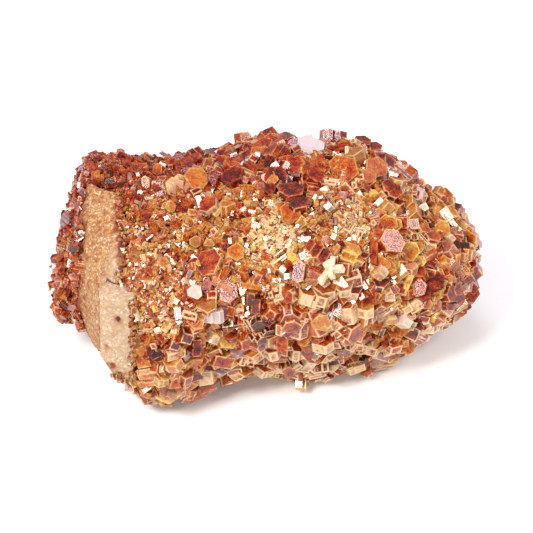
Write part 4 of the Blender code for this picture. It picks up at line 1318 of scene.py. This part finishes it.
class CrystalColours(bpy.types.PropertyGroup):
    """Colours of the vanadinite, as sRGB hex values."""

    darkest: bpy.props.StringProperty(name="Darkest", description="Nearly black red", default="#370902")
    wine: bpy.props.StringProperty(
        name="Wine", description="Dark red of thick crystals", default="#5D1207"
    )
    red: bpy.props.StringProperty(name="Red", description="Brick red", default="#8E1E08")
    rust: bpy.props.StringProperty(name="Rust", description="Red-brown", default="#973911")
    orange: bpy.props.StringProperty(
        name="Orange", description="Orange of thin crystals", default="#B0500D"
    )
    ochre: bpy.props.StringProperty(name="Ochre", description="Ochre of fine crystals", default="#AF6F27")
    tan: bpy.props.StringProperty(name="Tan", description="Dull tan", default="#AF7A3C")
    pale: bpy.props.StringProperty(name="Pale", description="Palest body colour", default="#D5A94E")
    # Cream: creamy side faces, frosting and partly a painted reflection of pale surroundings
    cream: bpy.props.StringProperty(name="Cream", description="Frosted side faces", default="#D8B88C")
    smoky: bpy.props.StringProperty(
        name="Smoky", description="Smoky brown of some crystals", default="#7E5430"
    )
    # Edge: pale edges, partly wear and partly a painted highlight along them
    edge: bpy.props.StringProperty(name="Edge", description="Thin worn edges", default="#DAAD64")
    # Painted glint: the pale pearly colour that stands in for a lamp's reflection on some faces
    painted_glint: bpy.props.StringProperty(
        name="Bloom", description="Pearly bloom on some faces", default="#E1D7DA"
    )


class RockColours(bpy.types.PropertyGroup):
    """Colours of the matrix rock, as sRGB hex values."""

    rust: bpy.props.StringProperty(name="Rust", description="Rusty specks and stains", default="#903E1E")
    ochre: bpy.props.StringProperty(name="Ochre", description="Orange ground", default="#BB7828")
    tan: bpy.props.StringProperty(name="Tan", description="Main ground", default="#B98749")
    cream: bpy.props.StringProperty(name="Cream", description="Pale grains", default="#C19968")
    white: bpy.props.StringProperty(name="White", description="Palest grains", default="#E6D8C2")
    ledge: bpy.props.StringProperty(name="Ledge", description="Pale ledge", default="#C6AF92")
    sprig: bpy.props.StringProperty(
        name="Sprig", description="Pale cluster on the front", default="#E2CDA6"
    )
    # Crack: the dark line round the ledge, partly red-brown stain and partly painted shade
    crack_stain_and_shade: bpy.props.StringProperty(
        name="Crack", description="Dark line around the ledge", default="#541C0F"
    )


class StageValues(bpy.types.PropertyGroup):
    """The sheet, the lamps and the surrounding light."""

    sheet: bpy.props.FloatVectorProperty(
        name="Sheet", description="Colour of the sheet", subtype="COLOR", size=3, default=(0.96, 0.96, 0.96)
    )
    width: bpy.props.FloatProperty(
        name="Sheet width", description="Width of the sheet", unit="LENGTH", default=6.0
    )
    lamps: bpy.props.FloatProperty(name="Lamps", description="Strength of all lamps", default=1.0)
    around: bpy.props.FloatProperty(name="Surroundings", description="Light from all around", default=0.48)


def dress(made, material, *nodes, slot):
    """Gives a finished piece its material, its body and the solids that it stands for. The slot is not used.
    """
    made.data.materials.append(material)
    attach(made, "root")
    if nodes:
        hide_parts(*nodes)


class VanadiniteMatrixRock(bpy.types.Operator):
    """Builds the lump of matrix rock, bare in a band near its left end and underneath"""

    bl_idname = "object.vanadinite_matrix_rock"
    bl_label = "Matrix rock"

    def execute(self, context):
        colours = context.scene.vanadinite_rock
        inset = CRUST_DEPTH
        start, finish = SECTIONS[0][0] + inset, SECTIONS[-1][0] - inset
        coarse = np.linspace(start, finish, ROCK_STEPS)[1:-1]
        fine = np.arange(*ROCK_FINE)
        places = np.sort(np.concatenate([coarse[(coarse < fine[0]) | (coarse > fine[-1])], fine]))
        grid_x, grid_around = np.meshgrid(places, np.arange(0, 360, 1.0), indexing="ij")
        plain = plain_surface(grid_x, grid_around)
        bare = bareness(plain, grid_around, *ROCK_EDGE)
        height = bare * BARE_RISE - (1 - bare) * CRUST_DEPTH
        height = height + bare * roughened(plain, ROCK_RELIEF)
        rings = surface(grid_x, grid_around, height, lowest=0.0)
        made = loft("matrix_rock_surface", rings, *end_tips(inset))
        # The dark line where the rock meets the ledge: partly red-brown stain, partly painted shade
        local = (made_points(made) - LEDGE_CENTRE) @ turned(LEDGE_TURN)
        outside = np.linalg.norm(np.maximum(np.abs(local) - np.array(LEDGE_SIZE) / 2, 0), axis=-1)
        beside = np.abs(local[:, 1]) < LEDGE_SIZE[1]
        store(made, "crack_stain_and_shade", "POINT", np.clip(1 - outside, 0, 1) * beside)
        inner = bareness(plain, grid_around, *STAIN_EDGE)
        stain = np.concatenate([(STAIN_MOST * (1 - inner)).ravel(), (0.0, 0.0)])
        store(made, "stain", "POINT", stain)
        pale = np.exp(-np.sum(((made_points(made) - PALE_PATCH) / PALE_REACH) ** 2, axis=-1))
        store(made, "pale", "POINT", PALENESS * pale)
        material = rock_material("matrix rock, granular and broken", colours, colours.ledge, ROCK_BUMP)
        dress(made, material, "matrix_rock", slot="matrix_rock")
        return {"FINISHED"}


def made_points(made):
    """A made mesh's points in millimetres."""
    values = np.empty(len(made.data.vertices) * 3, np.float32)
    made.data.vertices.foreach_get("co", values)
    return values.reshape(-1, 3) / MM


class VanadiniteLedge(bpy.types.Operator):
    """Builds the pale ledge of rock that stands proud at the front left"""

    bl_idname = "object.vanadinite_ledge"
    bl_label = "Ledge"

    def execute(self, context):
        colours = context.scene.vanadinite_rock
        points, outward, quads = rounded_block(LEDGE_SIZE, LEDGE_ROUNDING, LEDGE_SPACING)
        # The ledge's left side and a millimetre beyond it are darkened: partly red-brown stain, partly
        # painted shade of the crack
        near, far = (depth - LEDGE_SIZE[1] / 2 for depth in CRACK_DEPTHS)
        crack_stain_and_shade = np.clip(1 - points[:, 0] - LEDGE_SIZE[0] / 2, 0, 1)
        crack_stain_and_shade = crack_stain_and_shade * blend_step(points[:, 2], *CRACK_HEIGHTS) * (1 - blend_step(points[:, 1], near, far))
        relief = roughened(points + 40, LEDGE_RELIEF)
        pit = 0
        for place, reach, depth in LEDGE_PITS:
            pit = pit + depth * np.exp(-np.sum((points - place) ** 2, axis=-1) / reach**2)
        points = points + outward * (relief - pit - LEDGE_SINKING)[:, None]
        cut = LEDGE_CUT[1] * np.clip(LEDGE_CUT[0] - points[:, 2], 0, None) - LEDGE_SIZE[0] / 2
        points[:, 0] = np.maximum(points[:, 0], cut + 0.5 * relief)
        points = points @ turned(LEDGE_TURN).T + LEDGE_CENTRE
        made = new_object("ledge", points, quads, np.full(len(quads) // 4, 4), smooth=True)
        store(made, "stain", "POINT", np.clip(1.5 * pit, 0, 1))
        store(made, "pale", "POINT", np.full(len(points), LEDGE_PALENESS))
        store(made, "crack_stain_and_shade", "POINT", crack_stain_and_shade)
        material = rock_material("matrix rock, pale and fine grained", colours, colours.ledge, LEDGE_BUMP)
        dress(made, material, "matrix_rock", slot="matrix_rock")
        return {"FINISHED"}


class VanadiniteBed(bpy.types.Operator):
    """Builds the bed of the crust, which dives into the rock where that is bare"""

    bl_idname = "object.vanadinite_bed"
    bl_label = "Druse bed"

    def execute(self, context):
        inset = BED_DEPTH
        start, finish = SECTIONS[0][0] + inset, SECTIONS[-1][0] - inset
        turn = np.linspace(0, math.pi, BED_STEPS)[1:-1]
        even = np.linspace(start, finish, BED_STEPS)[1:-1]
        closer = (start + finish) / 2 - (finish - start) / 2 * np.cos(turn)
        places = BED_EVEN_SHARE * even + (1 - BED_EVEN_SHARE) * closer
        grid_x, grid_around = np.meshgrid(places, np.arange(0, 360, BED_DEGREES), indexing="ij")
        plain = plain_surface(grid_x, grid_around)
        bare = bareness(plain, grid_around)
        height = -BED_DEPTH - bare * BED_DIVE
        height = height + (1 - bare) * roughened(plain, BED_RELIEF)
        made = loft("druse_bed", surface(grid_x, grid_around, height), *end_tips(inset))
        values = region_values(made_points(made), surface_grid())
        # The bed's tone is kept below the crust's: painted shade in the gaps between the crystals
        tone = BED_TONE_AND_SHADE[0] * values[:, 1] + BED_TONE_AND_SHADE[1] * (values[:, 0] < FINEST_CRUST)
        store(made, "body", "POINT", np.stack([tone, values[:, 2], 0 * tone], axis=-1))
        material = druse_material(context.scene.vanadinite_crystals)
        dress(made, material, "vanadinite_crust", slot="vanadinite")
        return {"FINISHED"}


def crystal_piece(context, name, crystals, bevelled=False):
    """One mesh of crystals, dressed. All such pieces share one material."""
    made = prisms(name, crystals, bevelled)
    material = bpy.data.materials.get("vanadinite, grown faces")
    if material is None:
        material = vanadinite_material(context.scene.vanadinite_crystals)
    dress(made, material, "vanadinite_crust", slot="vanadinite")


class VanadiniteLargeCrystals(bpy.types.Operator):
    """Builds the largest crystals, in the places and poses that the crust's solid has"""

    bl_idname = "object.vanadinite_large_crystals"
    bl_label = "Large crystals"

    def execute(self, context):
        draw = np.random.default_rng(SITE_SEED)
        grid = surface_grid()
        crystal_piece(context, "large_crystals", all_large_crystals(grid, draw), bevelled=True)
        crystal_piece(context, "marked_crystals", marked_crystals(grid, draw), bevelled=True)
        return {"FINISHED"}


class VanadiniteFillingCrystals(bpy.types.Operator):
    """Builds the medium and small crystals and the grains that fill the crust between the large ones"""

    bl_idname = "object.vanadinite_filling_crystals"
    bl_label = "Filling crystals"

    def execute(self, context):
        grid = surface_grid()
        kinds = {"medium_crystals": MEDIUM, "small_crystals": SMALL, "grains": GRAIN}
        for offset, (name, kind) in enumerate(kinds.items()):
            draw = np.random.default_rng(SITE_SEED + 1 + offset)
            crystals = filling_crystals(grid, kind, draw)
            if kind is MEDIUM:
                crystals = with_twins(crystals, TWIN_SHARE, draw)
            crystal_piece(context, name, crystals)
        return {"FINISHED"}


class VanadiniteSprig(bpy.types.Operator):
    """Builds the cluster of stubby pale crystals on the front"""

    bl_idname = "object.vanadinite_sprig"
    bl_label = "Pale sprig"

    def execute(self, context):
        colours = context.scene.vanadinite_rock
        point, outward = seen_at(*SPRIG_PLACE, surface_grid())
        all_points = []
        all_quads = []
        for lean_right, lean_up, turn, length in SPRIG_BLADES:
            axis = leaning_axis(lean_right, lean_up)
            pose = Vector(axis).to_track_quat("Z", "Y").to_matrix()
            pose = pose @ Matrix.Rotation(math.radians(turn), 3, "Z")
            middle = point + outward * SPRIG_RISE + axis * (length * SPRIG_REACH)
            points, facing, quads = rounded_block((*SPRIG_SECTION, length), SPRIG_ROUNDING, SPRIG_SPACING)
            relief = roughened(points + middle, SPRIG_RELIEF)
            all_quads.append(quads + sum(len(part) for part in all_points))
            all_points.append((points + facing * relief[:, None]) @ np.array(pose).T + middle)
        points = np.concatenate(all_points)
        quads = np.concatenate(all_quads)
        made = new_object("pale_sprig", points, quads, np.full(len(quads) // 4, 4), smooth=True)
        store(made, "stain", "POINT", np.zeros(len(points)))
        store(made, "pale", "POINT", np.full(len(points), 1.0))
        material = rock_material("pale coating mineral, sugary", colours, colours.sprig, SPRIG_BUMP)
        dress(made, material, slot="vanadinite")
        return {"FINISHED"}


class VanadiniteStage(bpy.types.Operator):
    """Sets the pale sheet, the soft lamps and the camera"""

    bl_idname = "object.vanadinite_stage"
    bl_label = "Stage"

    def execute(self, context):
        scene = context.scene
        values = scene.vanadinite_stage
        half = values.width / 2
        corners = np.array([(-1, -1, 0), (1, -1, 0), (1, 1, 0), (-1, 1, 0)]) * half / MM
        sheet = new_object("sheet", corners, np.arange(4), np.array([4]), smooth=False)
        sheet.data.materials.append(sheet_material(values.sheet))
        world = bpy.data.worlds.new("surroundings")
        world.use_nodes = True
        background = world.node_tree.nodes["Background"]
        background.inputs["Color"].default_value = (1.0, 1.0, 1.0, 1.0)
        background.inputs["Strength"].default_value = values.around
        scene.world = world
        middle = Vector((0.0, 0.0, SEEN_MIDDLE_HEIGHT * MM))
        for number, (direction, distance, width, strength, colour) in enumerate(LAMPS):
            lamp = bpy.data.lights.new(f"lamp_{number}", "AREA")
            lamp.shape = "DISK"
            lamp.size = width
            lamp.color = linear(colour)[:3]
            lamp.energy = strength * values.lamps * math.pi * (width / 2) ** 2 * math.pi
            holder = bpy.data.objects.new(lamp.name, lamp)
            scene.collection.objects.link(holder)
            towards = Vector(direction).normalized()
            holder.location = middle + towards * distance
            holder.rotation_euler = towards.to_track_quat("Z", "Y").to_euler()
        _, up, towards = view_directions()
        camera = bpy.data.cameras.new("camera")
        camera.sensor_width = SENSOR_WIDTH
        camera.lens = SENSOR_WIDTH * SEEN_FROM * PIXELS_PER_MM / FRAME_PIXELS
        holder = bpy.data.objects.new("camera", camera)
        scene.collection.objects.link(holder)
        place = towards * SEEN_FROM - up * SEEN_SHIFT + (0.0, 0.0, SEEN_MIDDLE_HEIGHT)
        holder.location = Vector(place * MM)
        holder.rotation_euler = Vector(towards).to_track_quat("Z", "Y").to_euler()
        scene.camera = holder
        scene.view_settings.view_transform = "Standard"
        return {"FINISHED"}


OPERATORS = (
    VanadiniteMatrixRock,
    VanadiniteLedge,
    VanadiniteBed,
    VanadiniteLargeCrystals,
    VanadiniteFillingCrystals,
    VanadiniteSprig,
    VanadiniteStage,
)


class VanadinitePanel(bpy.types.Panel):
    """Lists the steps that build the specimen"""

    bl_idname = "VIEW3D_PT_vanadinite"
    bl_label = "Vanadinite on matrix"
    bl_space_type = "VIEW_3D"
    bl_region_type = "UI"
    bl_category = "Vanadinite"

    def draw(self, context):
        for operator in OPERATORS:
            self.layout.operator(operator.bl_idname)
        scene = context.scene
        for group in (scene.vanadinite_crystals, scene.vanadinite_rock, scene.vanadinite_stage):
            for name in group.__annotations__:
                self.layout.prop(group, name)


CLASSES = (CrystalColours, RockColours, StageValues, *OPERATORS, VanadinitePanel)


def register():
    for kind in CLASSES:
        bpy.utils.register_class(kind)
    bpy.types.Scene.vanadinite_crystals = bpy.props.PointerProperty(type=CrystalColours)
    bpy.types.Scene.vanadinite_rock = bpy.props.PointerProperty(type=RockColours)
    bpy.types.Scene.vanadinite_stage = bpy.props.PointerProperty(type=StageValues)


def unregister():
    del bpy.types.Scene.vanadinite_stage
    del bpy.types.Scene.vanadinite_rock
    del bpy.types.Scene.vanadinite_crystals
    for kind in reversed(CLASSES):
        bpy.utils.unregister_class(kind)


def main():
    register()
    bpy.ops.object.vanadinite_matrix_rock()
    bpy.ops.object.vanadinite_ledge()
    bpy.ops.object.vanadinite_bed()
    bpy.ops.object.vanadinite_large_crystals()
    bpy.ops.object.vanadinite_filling_crystals()
    bpy.ops.object.vanadinite_sprig()
    bpy.ops.object.vanadinite_stage()


if __name__ == "__main__":
    main()
